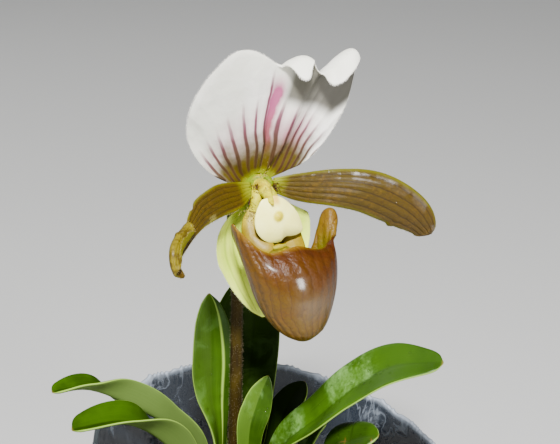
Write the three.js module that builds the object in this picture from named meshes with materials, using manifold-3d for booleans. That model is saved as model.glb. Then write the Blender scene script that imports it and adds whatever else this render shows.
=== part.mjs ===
// Lady's slipper orchid growing in a clear nursery pot. Millimetres, +Z up.
// The origin is the centre of the pot's underside. The flower looks towards -Y and +X.

import * as THREE from "three";
import { mergeVertices } from "three/addons/utils/BufferGeometryUtils.js";
import Module from "manifold-3d";

const wasm = await Module();
wasm.setup();

// ---------- driving dimensions ----------

const GAP = 0.4;

const POT_HEIGHT = 110;
const POT_FOOT_RADIUS = 48;
const POT_RIM_RADIUS = 70;
const POT_WALL = 1.2;
const POT_FLOOR = 1.8;
const POT_SIDES = 60;
const POT_FLUTE = 0.45;
const RIM_FALL = 0.19;
const RIM_TURN = 0.018;
const RIM_TEETH = 0.5;
const DRAIN_COUNT = 6;
const DRAIN_RADIUS = 4.5;
const DRAIN_CIRCLE = 31;

const MEDIUM_HEIGHT = 75;
const CHIP_COUNT = 36;
const CHIP_SIZE = 14;

const GROWTH_CENTRE = [-18.5, 12];
const YOUNG_CENTRE = [9, -1];
const GROWTH_ROOT = 60;

const HUB = new THREE.Vector3(-8.2, -8.0, 229.7);
const FACING = 32;

const LEAF_THICKNESS = 1.3;
const PETAL_THICKNESS = 0.9;
const SEPAL_THICKNESS = 0.8;
const LIP_THICKNESS = 0.9;

const STEM_RADIUS = 2.3;
const OVARY_RADIUS = 3.0;

// ---------- curves ----------

function rad(degrees) {
  return (degrees * Math.PI) / 180;
}

// A smooth curve through [position, value] keys.
function ease(keys, t) {
  const last = keys.length - 1;
  if (t <= keys[0][0]) {
    return keys[0][1];
  }
  if (t >= keys[last][0]) {
    return keys[last][1];
  }
  let i = 0;
  while (keys[i + 1][0] <= t) {
    i += 1;
  }
  const slope = (k) => {
    const before = keys[Math.max(k - 1, 0)];
    const after = keys[Math.min(k + 1, last)];
    return (after[1] - before[1]) / (after[0] - before[0]);
  };
  const span = keys[i + 1][0] - keys[i][0];
  const x = (t - keys[i][0]) / span;
  const rise = x * x * (3 - 2 * x);
  const leave = x * (1 - x) * (1 - x) * span * slope(i);
  const arrive = x * x * (x - 1) * span * slope(i + 1);
  return keys[i][1] * (1 - rise) + keys[i + 1][1] * rise + leave + arrive;
}

// A smooth curve through evenly spaced points, t from 0 to 1.
function spline(points, t) {
  const axis = (a) => ease(points.map((p, i) => [i / (points.length - 1), p[a]]), t);
  return new THREE.Vector3(axis(0), axis(1), axis(2));
}

// Direction of a spline at t.
function heading(points, t) {
  const ahead = spline(points, Math.min(t + 0.002, 1));
  return ahead.sub(spline(points, Math.max(t - 0.002, 0))).normalize();
}

// End of a line that sets off at an angle and bends by a constant amount per mm.
function arc(length, angle, bend) {
  if (Math.abs(bend) < 1e-6) {
    return [length * Math.cos(angle), length * Math.sin(angle)];
  }
  const end = angle + bend * length;
  return [(Math.sin(end) - Math.sin(angle)) / bend, (Math.cos(angle) - Math.cos(end)) / bend];
}

// The flower's own frame: s to its left as it looks out, u up, n out of its face.
function flower(s, u, n) {
  const a = rad(FACING);
  const x = s * Math.cos(a) + n * Math.sin(a);
  const y = s * Math.sin(a) - n * Math.cos(a);
  return new THREE.Vector3(x, y, u).add(HUB);
}

function flowerPath(points) {
  return points.map(([s, u, n]) => flower(s, u, n).toArray());
}

// Repeatable random numbers from 0 to 1.
function randomSource(seed) {
  let state = seed;
  return () => {
    state = (state * 16807) % 2147483647;
    return state / 2147483647;
  };
}

// ---------- solids ----------

// A closed geometry from points and triangles, turned so that its faces point out.
function closed(points, triangles) {
  let volume = 0;
  const cross = new THREE.Vector3();
  for (const [a, b, c] of triangles) {
    volume += cross.crossVectors(points[a], points[b]).dot(points[c]);
  }
  const turned = volume < 0 ? triangles.map(([a, b, c]) => [a, c, b]) : triangles;
  const geometry = new THREE.BufferGeometry();
  geometry.setAttribute("position", new THREE.Float32BufferAttribute(points.flatMap((p) => p.toArray()), 3));
  geometry.setIndex(turned.flat());
  geometry.computeVertexNormals();
  return geometry;
}

// Rings of points joined in order and closed by a point at each end.
function loft(rings, first, last) {
  const count = rings[0].length;
  const points = [first, ...rings.flat(), last];
  const end = points.length - 1;
  const at = (ring, i) => 1 + ring * count + (i % count);
  const triangles = [];
  for (let i = 0; i < count; i += 1) {
    triangles.push([0, at(0, i + 1), at(0, i)]);
    triangles.push([end, at(rings.length - 1, i), at(rings.length - 1, i + 1)]);
    for (let r = 0; r + 1 < rings.length; r += 1) {
      triangles.push([at(r, i), at(r, i + 1), at(r + 1, i + 1)]);
      triangles.push([at(r, i), at(r + 1, i + 1), at(r + 1, i)]);
    }
  }
  return closed(points, triangles);
}

// A thin sheet round a surface point(u, v), u from -1 to 1 and v from 0 to 1.
// Both faces are split along the same diagonals, so the sheet never crosses itself.
function sheet(point, across, along, thickness) {
  const width = across + 1;
  const grid = [];
  for (let j = 0; j <= along; j += 1) {
    for (let i = 0; i <= across; i += 1) {
      grid.push(point(-1 + (2 * i) / across, j / along));
    }
  }
  const at = (i, j) => grid[Math.min(Math.max(j, 0), along) * width + Math.min(Math.max(i, 0), across)];
  const upper = [];
  const lower = [];
  for (let j = 0; j <= along; j += 1) {
    for (let i = 0; i <= across; i += 1) {
      const du = at(i + 1, j).clone().sub(at(i - 1, j));
      const dv = at(i, j + 1).clone().sub(at(i, j - 1));
      const normal = du.cross(dv).normalize();
      const margin = Math.abs(-1 + (2 * i) / across);
      const half = (thickness / 2) * (1 - 0.25 * margin * margin);
      upper.push(at(i, j).clone().addScaledVector(normal, half));
      lower.push(at(i, j).clone().addScaledVector(normal, -half));
    }
  }
  const under = grid.length;
  const triangles = [];
  for (let j = 0; j < along; j += 1) {
    for (let i = 0; i < across; i += 1) {
      const a = j * width + i;
      const b = a + width;
      triangles.push([a, a + 1, b + 1], [a, b + 1, b]);
      triangles.push([under + a, under + b + 1, under + a + 1], [under + a, under + b, under + b + 1]);
    }
  }
  const rim = [];
  for (let i = 0; i < across; i += 1) {
    rim.push(i);
  }
  for (let j = 0; j < along; j += 1) {
    rim.push(j * width + across);
  }
  for (let i = across; i > 0; i -= 1) {
    rim.push(along * width + i);
  }
  for (let j = along; j > 0; j -= 1) {
    rim.push(j * width);
  }
  rim.forEach((a, k) => {
    const b = rim[(k + 1) % rim.length];
    triangles.push([a, under + a, under + b], [a, under + b, b]);
  });
  return closed([...upper, ...lower], triangles);
}

// A solid rod along a path. radius(t, angle) gives its surface.
function rod(path, sides, along, radius) {
  const side = new THREE.Vector3(1, 0, 0);
  const rings = [];
  for (let j = 0; j <= along; j += 1) {
    const t = j / along;
    const forward = heading(path, t);
    const left = side.clone().addScaledVector(forward, -side.dot(forward)).normalize();
    const up = forward.clone().cross(left);
    const ring = [];
    for (let i = 0; i < sides; i += 1) {
      const angle = (2 * Math.PI * i) / sides;
      const r = radius(t, angle);
      const centre = spline(path, t);
      centre.addScaledVector(left, r * Math.cos(angle));
      centre.addScaledVector(up, r * Math.sin(angle));
      ring.push(centre);
    }
    rings.push(ring);
  }
  return loft(rings, spline(path, 0), spline(path, 1));
}

// A stack of upright ellipses: [z, x half width, y half width].
function stack(centre, levels, sides) {
  const rings = levels.map(([z, a, b]) => {
    const ring = [];
    for (let i = 0; i < sides; i += 1) {
      const angle = (2 * Math.PI * i) / sides;
      const x = centre[0] + a * Math.cos(angle);
      ring.push(new THREE.Vector3(x, centre[1] + b * Math.sin(angle), z));
    }
    return ring;
  });
  const end = (level) => new THREE.Vector3(centre[0], centre[1], level[0]);
  return loft(rings, end(levels[0]), end(levels[levels.length - 1]));
}

function toSolid(geometry) {
  const bare = geometry.clone();
  bare.deleteAttribute("normal");
  bare.deleteAttribute("uv");
  const merged = mergeVertices(bare, 1e-5);
  const mesh = new wasm.Mesh({
    numProp: 3,
    vertProperties: new Float32Array(merged.attributes.position.array),
    triVerts: new Uint32Array(merged.index.array),
  });
  return new wasm.Manifold(mesh);
}

function toGeometry(solid) {
  const mesh = solid.getMesh();
  const geometry = new THREE.BufferGeometry();
  geometry.setAttribute("position", new THREE.BufferAttribute(mesh.vertProperties, 3));
  geometry.setIndex(new THREE.BufferAttribute(mesh.triVerts, 1));
  geometry.computeVertexNormals();
  return geometry;
}

function fuse(...geometries) {
  return toGeometry(geometries.map(toSolid).reduce((whole, piece) => whole.add(piece)));
}

function cut(geometry, ...tools) {
  return toGeometry(tools.map(toSolid).reduce((whole, tool) => whole.subtract(tool), toSolid(geometry)));
}

// ---------- blades ----------

// A leaf or petal: a spine, the way its face looks, its half width, the angle of its fold
// at the midrib and the bend of each half, all set by keys along its length.
function blade({ spine, look, half, fold, curl = [[0, 0]], wave = 0, waves = 3 }) {
  return (u, t) => {
    const side = heading(spine, t).cross(spline(look, t)).normalize();
    const face = side.clone().cross(heading(spine, t));
    const reach = Math.abs(u) * ease(half, t);
    const [across, rise] = arc(reach, rad(ease(fold, t)), rad(ease(curl, t)));
    const ripple = wave * u * u * Math.sin(2 * Math.PI * waves * t + u);
    const point = spline(spine, t);
    point.addScaledVector(side, Math.sign(u) * across);
    return point.addScaledVector(face, rise + ripple);
  };
}

// ---------- pot ----------

function potRadius(z) {
  return POT_FOOT_RADIUS + ((POT_RIM_RADIUS - POT_FOOT_RADIUS) * z) / POT_HEIGHT;
}

// The rim is an oblique cut with small uneven teeth.
function rimHeight(angle) {
  const x = POT_RIM_RADIUS * Math.cos(angle);
  const y = POT_RIM_RADIUS * Math.sin(angle);
  const teeth = Math.sin(17 * angle + 1) * Math.sin(5 * angle) + 0.6 * Math.sin(29 * angle);
  return POT_HEIGHT - RIM_FALL * x + RIM_TURN * y + RIM_TEETH * teeth;
}

function potRing(inset, level, flute) {
  const ring = [];
  for (let i = 0; i < POT_SIDES; i += 1) {
    const angle = (2 * Math.PI * i) / POT_SIDES;
    const z = level(angle);
    const r = potRadius(z) - inset + (i % 2 ? flute : 0);
    ring.push(new THREE.Vector3(r * Math.cos(angle), r * Math.sin(angle), z));
  }
  return ring;
}

function makePot() {
  const band = (angle) => Math.min(rimHeight(angle) - 7, 92);
  const rings = [
    potRing(1.5, () => 0, 0),
    potRing(0, () => 1.5, 0),
    potRing(0, () => 8, 0),
    potRing(0, () => 9, POT_FLUTE),
    potRing(0, (angle) => band(angle) - 1, POT_FLUTE),
    potRing(0, band, 0),
    potRing(0, rimHeight, 0),
    potRing(POT_WALL, rimHeight, 0),
    potRing(POT_WALL, () => POT_FLOOR, 0),
  ];
  const body = loft(rings, new THREE.Vector3(0, 0, 0), new THREE.Vector3(0, 0, POT_FLOOR));
  const drains = [];
  for (let i = 0; i < DRAIN_COUNT; i += 1) {
    const angle = (2 * Math.PI * i) / DRAIN_COUNT;
    const drain = new THREE.CylinderGeometry(DRAIN_RADIUS, DRAIN_RADIUS, 8, 12);
    drain.rotateX(Math.PI / 2);
    drain.translate(DRAIN_CIRCLE * Math.cos(angle), DRAIN_CIRCLE * Math.sin(angle), 0);
    drains.push(drain);
  }
  return cut(body, ...drains);
}

// ---------- growing medium ----------

// A bark chip: a box with its corners knocked about.
function chip(x, y, z, size, random) {
  const box = new THREE.BoxGeometry(size, size * (0.5 + 0.3 * random()), size * (0.35 + 0.2 * random()));
  box.deleteAttribute("normal");
  box.deleteAttribute("uv");
  const shape = mergeVertices(box, 1e-4);
  const position = shape.attributes.position;
  for (let i = 0; i < position.count; i += 1) {
    const shift = () => 0.22 * size * (random() - 0.5);
    position.setXYZ(i, position.getX(i) + shift(), position.getY(i) + shift(), position.getZ(i) + shift());
  }
  shape.rotateX(0.9 * (random() - 0.5));
  shape.rotateY(0.9 * (random() - 0.5));
  shape.rotateZ(Math.PI * random());
  shape.translate(x, y, z);
  return shape;
}

function makeMedium() {
  const wall = POT_WALL + GAP + 0.3;
  const rings = [
    potRing(wall, () => POT_FLOOR + GAP, 0),
    potRing(wall, () => MEDIUM_HEIGHT, 0),
  ];
  const bottom = new THREE.Vector3(0, 0, POT_FLOOR + GAP);
  const bed = loft(rings, bottom, new THREE.Vector3(0, 0, MEDIUM_HEIGHT));
  const random = randomSource(41);
  const room = potRadius(MEDIUM_HEIGHT) - POT_WALL - CHIP_SIZE * 0.95;
  const chips = [];
  for (let i = 0; i < CHIP_COUNT; i += 1) {
    const angle = i * 2.39996;
    const r = room * Math.sqrt((i + 0.5) / CHIP_COUNT);
    const size = CHIP_SIZE * (0.75 + 0.5 * random());
    const x = r * Math.cos(angle);
    const y = r * Math.sin(angle);
    const away = Math.hypot(x - GROWTH_CENTRE[0], y - GROWTH_CENTRE[1]);
    const sink = 4 * Math.exp(-((away / 16) ** 2));
    const z = MEDIUM_HEIGHT - sink + 0.3 * size * (random() - 0.45);
    chips.push(chip(x, y, z, size, random));
  }
  const hollow = (centre, a, b) => stack(centre, [[GROWTH_ROOT - GAP, a, b], [100, a, b]], 20);
  const growth = hollow(GROWTH_CENTRE, 7.6, 6.8);
  return cut(fuse(bed, ...chips), growth, hollow(YOUNG_CENTRE, 5.4, 5.0));
}

// ---------- growths ----------

function makeGrowth() {
  const levels = [[GROWTH_ROOT, 5.6, 5], [68, 6.8, 6], [77, 6.4, 5.6], [85, 5.6, 5], [91, 4.8, 4.4]];
  const socket = [STEM_FOOT[0] - 0.1, STEM_FOOT[1]];
  const hole = stack(socket, [[STEM_FOOT[2] - GAP, 3.2, 3.2], [99, 3.2, 3.2]], 16);
  return cut(stack(GROWTH_CENTRE, levels, 20), hole);
}

function makeYoungGrowth() {
  const levels = [[GROWTH_ROOT, 4, 3.6], [68, 4.8, 4.4], [77, 4.6, 4.2], [84, 3.4, 3.1], [88, 1.4, 1.3]];
  return stack(YOUNG_CENTRE, levels, 16);
}

// ---------- flower stem ----------

const STEM_FOOT = [-19, 12, 82];

const STEM_PATH = [
  STEM_FOOT,
  [-19.8, 12, 106],
  [-18.8, 11.6, 140],
  [-17.9, 11.2, 176],
  [-17.4, 10.6, 200],
  [-16.6, 6.6, 214],
  ...flowerPath([[0, -4, -8.5], [0, -0.6, -2.6]]),
];

const STEM_SWELL = [
  [0, STEM_RADIUS + 0.2],
  [0.3, STEM_RADIUS],
  [0.57, STEM_RADIUS - 0.2],
  [0.68, STEM_RADIUS],
  [0.82, OVARY_RADIUS],
  [0.94, OVARY_RADIUS - 0.3],
  [1, OVARY_RADIUS - 0.6],
];

function stemRadius(t, angle) {
  const ribs = t > 0.62 ? 0.12 * Math.min((t - 0.62) / 0.1, 1) : 0;
  return ease(STEM_SWELL, t) * (1 + ribs * Math.cos(6 * angle));
}

const BRACT = {
  spine: [[-17.6, 11.9, 192], [-17.6, 14.4, 200], [-17.4, 14.8, 209], [-17.2, 14.2, 217], [-17.2, 12.6, 224]],
  look: [[0, -1, 0], [0, -1, 0], [0, -1, 0.1], [0, -1, 0.2], [0, -1, 0.3]],
  half: [[0, 2.6], [0.3, 5.2], [0.6, 5.6], [0.85, 3.4], [1, 0.6]],
  fold: [[0, 0], [1, 20]],
  curl: [[0, 16], [0.5, 13], [1, 6]],
};

// ---------- dorsal sepal ----------

// Along each ray from the hub: [degrees from upright, distance to the upper edge].
const SEPAL_REACH = [
  [-70, 13], [-66.5, 16.5], [-62.5, 22.5], [-56.5, 29], [-50, 35], [-44.5, 39.5], [-38, 44.5],
  [-29, 49], [-21.5, 52.5], [-16, 55], [-12, 55.5], [-9, 54.5], [-5, 52], [-2.5, 50], [1.5, 47.5],
  [5, 49.5], [9.5, 51], [12.5, 50.5], [16, 46.5], [21.5, 49], [24.5, 53], [28, 56.5], [30.5, 56],
  [33.5, 53], [36.5, 48.5], [40.5, 42.5], [45.5, 35], [51.5, 26.5], [57, 19], [61, 13],
];

// How much margin is rolled: forward where positive, slightly back where negative.
const SEPAL_ROLL = [
  [-70, -1], [-50, -2.4], [-12, -2.4], [-3, -0.8], [1.5, 1.6], [4, 6], [6, 10.5], [8, 12], [10, 11],
  [12, 6], [13.5, 2.6], [16, 1.2], [17.5, 4], [20, 8.5], [22.5, 11.5], [25, 13], [28, 11.5],
  [30, 8], [32, 3], [34, 1], [61, 0.8],
];

const SEPAL_LEAN = [
  [-70, -1], [-60, -3], [-50, -3.5], [-44, -1.5], [-38, 1.5], [-29, 3.5], [-16, 7], [-5, 10],
  [2, 11.5], [10, 12], [16, 15], [21, 14], [28, 12.5], [37, 14], [45, 16], [61, 17],
];

const SEPAL_START = 4.5;
const SEPAL_BEND = 2.6;
const SEPAL_OVER = rad(130);

function dorsalSepal(u, v) {
  const degrees = -4.5 + 65.5 * u;
  const theta = rad(degrees);
  const lean = rad(ease(SEPAL_LEAN, degrees));
  const roll = ease(SEPAL_ROLL, degrees);
  const margin = Math.max(Math.abs(roll), 0.8);
  const bend = roll > 0 ? 1 / SEPAL_BEND : -1 / 7;
  const body = ease(SEPAL_REACH, degrees) / Math.cos(lean) - Math.min(margin, SEPAL_BEND);
  let along = SEPAL_START + (body - SEPAL_START) * Math.min(v / 0.6, 1);
  const run = along;
  let across = along * Math.cos(lean);
  let out = along * Math.sin(lean);
  if (v > 0.6) {
    const past = (margin * (v - 0.6)) / 0.4;
    const turned = Math.min(past, SEPAL_OVER / Math.abs(bend));
    const [da, dn] = arc(turned, lean, bend);
    const way = lean + bend * turned;
    across += da + (past - turned) * Math.cos(way);
    out += dn + (past - turned) * Math.sin(way);
    along += past;
  }
  const groove = -1.8 * Math.exp(-(((degrees - 1) / 5.5) ** 2)) * Math.sin(Math.PI * Math.min(run / 56, 1));
  const pleat = 2.5 * Math.exp(-(((degrees - 16) / 2.8) ** 2)) * Math.max(0, (run - 34) / 14) ** 1.5;
  const root = -3.1 * Math.max(0, 1 - (run - SEPAL_START) / 14);
  return flower(across * Math.sin(theta), across * Math.cos(theta), out + groove + pleat + root);
}

// ---------- petals and lower sepal ----------

const PETAL_RIGHT = {
  spine: flowerPath([
    [4.2, 0.3, 0.3], [14, -1.4, 4.5], [25, -3.0, 8], [36, -6.2, 11],
    [46.2, -12, 13], [55.8, -19.9, 14], [63.8, -29.2, 13],
  ]),
  look: [[-0.2, -0.9, 0.3], [-0.2, -0.9, 0.3]],
  half: [
    [0, 2.4], [0.12, 4.6], [0.3, 6.4], [0.5, 8.1], [0.66, 8.5], [0.8, 7.6], [0.9, 5.8], [0.97, 3.4], [1, 1],
  ],
  fold: [[0, 0], [1, 0]],
  curl: [[0, 0], [0.3, -2], [1, -2.5]],
  wave: 0.3,
  waves: 3.5,
};

const PETAL_LEFT = {
  spine: flowerPath([
    [-4.4, 0.9, 0.3], [-11.8, 1.4, 3], [-18.7, 2.8, 6], [-25.3, 3.5, 9.5], [-30.7, 3.8, 13],
    [-35.3, 2.6, 16.5], [-40.3, 1, 20], [-45.1, -0.1, 23.5], [-48, -1.9, 26],
    [-48.4, -5.9, 27.5], [-45.9, -9, 28],
  ]),
  look: [
    [0.3, -0.9, 0.4], [0.6, -0.6, 0.45], [0.7, -0.5, 0.45], [0.75, -0.4, 0.45],
    [0.8, -0.3, 0.45], [0.85, -0.2, 0.4], [0.85, -0.3, 0.35], [0.85, -0.4, 0.3],
  ],
  half: [
    [0, 2.4], [0.1, 4.6], [0.2, 5.3], [0.3, 5.1], [0.4, 4.6], [0.5, 3.5], [0.6, 2.9], [0.7, 3.1],
    [0.8, 3], [0.9, 2.4], [1, 1],
  ],
  fold: [[0, 0], [1, 0]],
  curl: [[0, 0], [0.3, -2], [1, -2.5]],
  wave: 0.3,
  waves: 3.5,
};

const SYNSEPAL = {
  spine: flowerPath([[0, -4.9, -1.7], [-0.2, -14, -2.6], [1.3, -26, -2.6], [1.2, -38, -1], [-0.3, -50, 1.5]]),
  look: [[0.53, -0.848, 0], [0.53, -0.848, 0]],
  half: [[0, 5.5], [0.12, 13.5], [0.25, 18.4], [0.4, 19.4], [0.6, 17], [0.8, 12], [0.93, 6.2], [1, 1]],
  fold: [[0, 0], [1, 0]],
  curl: [[0, 1], [1, 1]],
};

// ---------- lip ----------

// From the toe up to the mouth: [share of the way, value].
const LIP_HEIGHT = [
  [0, -46.5], [0.06, -45.6], [0.2, -42], [0.4, -36],
  [0.6, -28.5], [0.8, -20], [0.93, -15.5], [1, -13],
];
const LIP_OUT = [
  [0, 27.5], [0.06, 27], [0.2, 25.6], [0.4, 22.6],
  [0.6, 20.2], [0.8, 17.5], [0.93, 14], [1, 11.5],
];
const LIP_WIDE = [
  [0, 0.6], [0.06, 3.6], [0.2, 8.6], [0.4, 12.6],
  [0.6, 15], [0.8, 16.6], [0.93, 17.2], [1, 17.6],
];
const LIP_DEEP = [[0, 0.6], [0.06, 3], [0.2, 7], [0.4, 10], [0.6, 12], [0.8, 12.2], [0.93, 11.6], [1, 10.5]];

// Height of the mouth's edge round the lip, 0 degrees in front: two ears and a raised back.
const LIP_EDGE = [
  [-180, 9], [-165, 8], [-150, 5], [-122, 0.5], [-113, 2.5], [-104, 6], [-96, 7.6], [-88, 8.3],
  [-80, 7.1], [-70, 5.6], [-60, 3.8], [-45, 0.8], [-30, -0.7], [0, 0], [15, -1.6], [30, -3.8],
  [45, -5.2], [60, -5.5], [66, -4.6], [72, -3.3], [78, -1.6], [84, 0.7], [90, 3.1], [96, 4.1],
  [102, 3.4], [108, 1.4], [114, 0], [155, 0], [165, 7], [180, 9],
];

// How far the mouth's edge stands out sideways at the ears.
const LIP_FLARE = [
  [-130, 0], [-112, 0.4], [-88, 1], [-70, 0.4], [-46, 0], [50, 0], [60, 0], [66, 1.2],
  [72, 2.9], [78, 4.3], [84, 5.1], [90, 5], [96, 3.9], [102, 2.8], [108, 2.6], [114, 3],
  [124, 2], [135, 0],
];

// How much fuller the right half is.
const LIP_RIGHT = [
  [0, 1], [0.2, 1.02], [0.4, 1.06], [0.6, 1.08],
  [0.8, 1.06], [0.93, 1.02], [1, 1],
];

// Share of the full height that the wall has: a bay behind each ear.
const LIP_TOP = [
  [-165, 1], [-150, 0.9], [-135, 0.88], [-120, 0.95], [-112, 1], [104, 1], [110, 0.985],
  [114, 0.944], [120, 0.857], [126, 0.779], [132, 0.722], [140, 0.675], [150, 0.67],
  [158, 0.78], [166, 1],
];

function lip(degrees, share) {
  const angle = rad(degrees);
  const v = share > 0.5 ? 0.5 + ((share - 0.5) * (ease(LIP_TOP, degrees) - 0.5)) / 0.5 : share;
  const lift = Math.max(0, (v - 0.8) / 0.2) ** 2;
  const fuller = degrees > 0 && degrees < 180 ? ease(LIP_RIGHT, v) : 1;
  const flare = Math.sign(degrees) * ease(LIP_FLARE, degrees) * lift;
  const s = ease(LIP_WIDE, v) * fuller * Math.sin(angle) + flare;
  const n = ease(LIP_OUT, v) + ease(LIP_DEEP, v) * Math.cos(angle);
  return flower(s, ease(LIP_HEIGHT, v) + ease(LIP_EDGE, degrees) * lift, n);
}

function lipRing(v, inset) {
  const ring = [];
  for (let i = 0; i < 40; i += 1) {
    const degrees = -180 + 9 * i;
    const point = lip(degrees, v);
    const round = lip(degrees + 2, v).sub(lip(degrees - 2, v));
    const rise = lip(degrees, Math.min(v + 0.01, 1)).sub(lip(degrees, Math.max(v - 0.01, 0)));
    ring.push(point.addScaledVector(round.cross(rise).normalize(), -inset));
  }
  return ring;
}

// A folded-in side lobe behind the mouth.
function lobe(points) {
  const girth = [[0, 1.2], [0.25, 2.2], [0.5, 3], [0.8, 3.1], [1, 1.8]];
  return rod(flowerPath(points), 10, 8, (t) => ease(girth, t));
}

function makeLip() {
  const levels = [0.06, 0.14, 0.26, 0.4, 0.54, 0.67, 0.78, 0.86, 0.93, 1];
  const outer = levels.map((v) => lipRing(v, 0));
  const inner = levels.map((v) => lipRing(v, LIP_THICKNESS)).reverse();
  const toe = flower(0, -46.6, 27.5);
  const shell = loft([...outer, ...inner], toe, flower(0, -46.6 + LIP_THICKNESS, 27.3));
  return fuse(
    shell,
    lobe([[-4, -5, 2.4], [-7, -8.6, 3.6], [-8, -12, 5], [-8.2, -15.8, 8], [-6.6, -19.8, 11.5]]),
    lobe([[4, -5, 2.4], [6.6, -8.8, 3.6], [6.8, -12.6, 5.2], [5.8, -17.6, 8.8], [4.8, -21.4, 11.8]]),
  );
}

// ---------- column and staminode ----------

const SHIELD_OUTLINE = [
  [-180, 7.7], [-165, 8], [-141, 8.4], [-108, 9.1], [-74, 9.6], [-50, 10], [-35, 10.4],
  [-26, 9.7], [-17.5, 8.9], [-8.6, 9.2], [10, 8], [38, 6.8], [69, 7], [93, 8], [111, 9.4],
  [122, 10.6], [131, 10], [149, 7.8], [160, 6.8], [171, 6.9], [180, 7.7],
];
const SHIELD_TILT = rad(8);

function shieldPoint(degrees, share, out) {
  const reach = ease(SHIELD_OUTLINE, degrees) * share;
  const q = reach * Math.cos(rad(degrees));
  const u = -7.7 + q * Math.cos(SHIELD_TILT) + out * Math.sin(SHIELD_TILT);
  const n = 11 - q * Math.sin(SHIELD_TILT) + out * Math.cos(SHIELD_TILT);
  return flower(reach * Math.sin(rad(degrees)), u, n);
}

function makeColumn() {
  const rows = [[0.45, 1.9], [0.8, 1.1], [1, 0.1], [0.95, -0.5], [0.5, -0.7]];
  const rings = rows.map(([share, out]) => {
    const ring = [];
    for (let i = 0; i < 20; i += 1) {
      ring.push(shieldPoint(-180 + 18 * i, share, out));
    }
    return ring;
  });
  const shield = loft(rings, shieldPoint(0, 0, 2.3), shieldPoint(0, 0, -0.8));
  const path = flowerPath([[0, -0.2, -1], [0, 0.1, 2], [0, -1.4, 6], [0, -4.5, 10.8]]);
  const column = rod(path, 12, 8, (t) => 2.7 - 0.5 * t);
  const anther = (s) => {
    const ball = new THREE.SphereGeometry(1.8, 10, 7);
    ball.translate(...flower(s, -3.6, 6).toArray());
    return ball;
  };
  return fuse(column, shield, anther(-2.6), anther(2.6));
}

// ---------- leaves ----------

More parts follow.
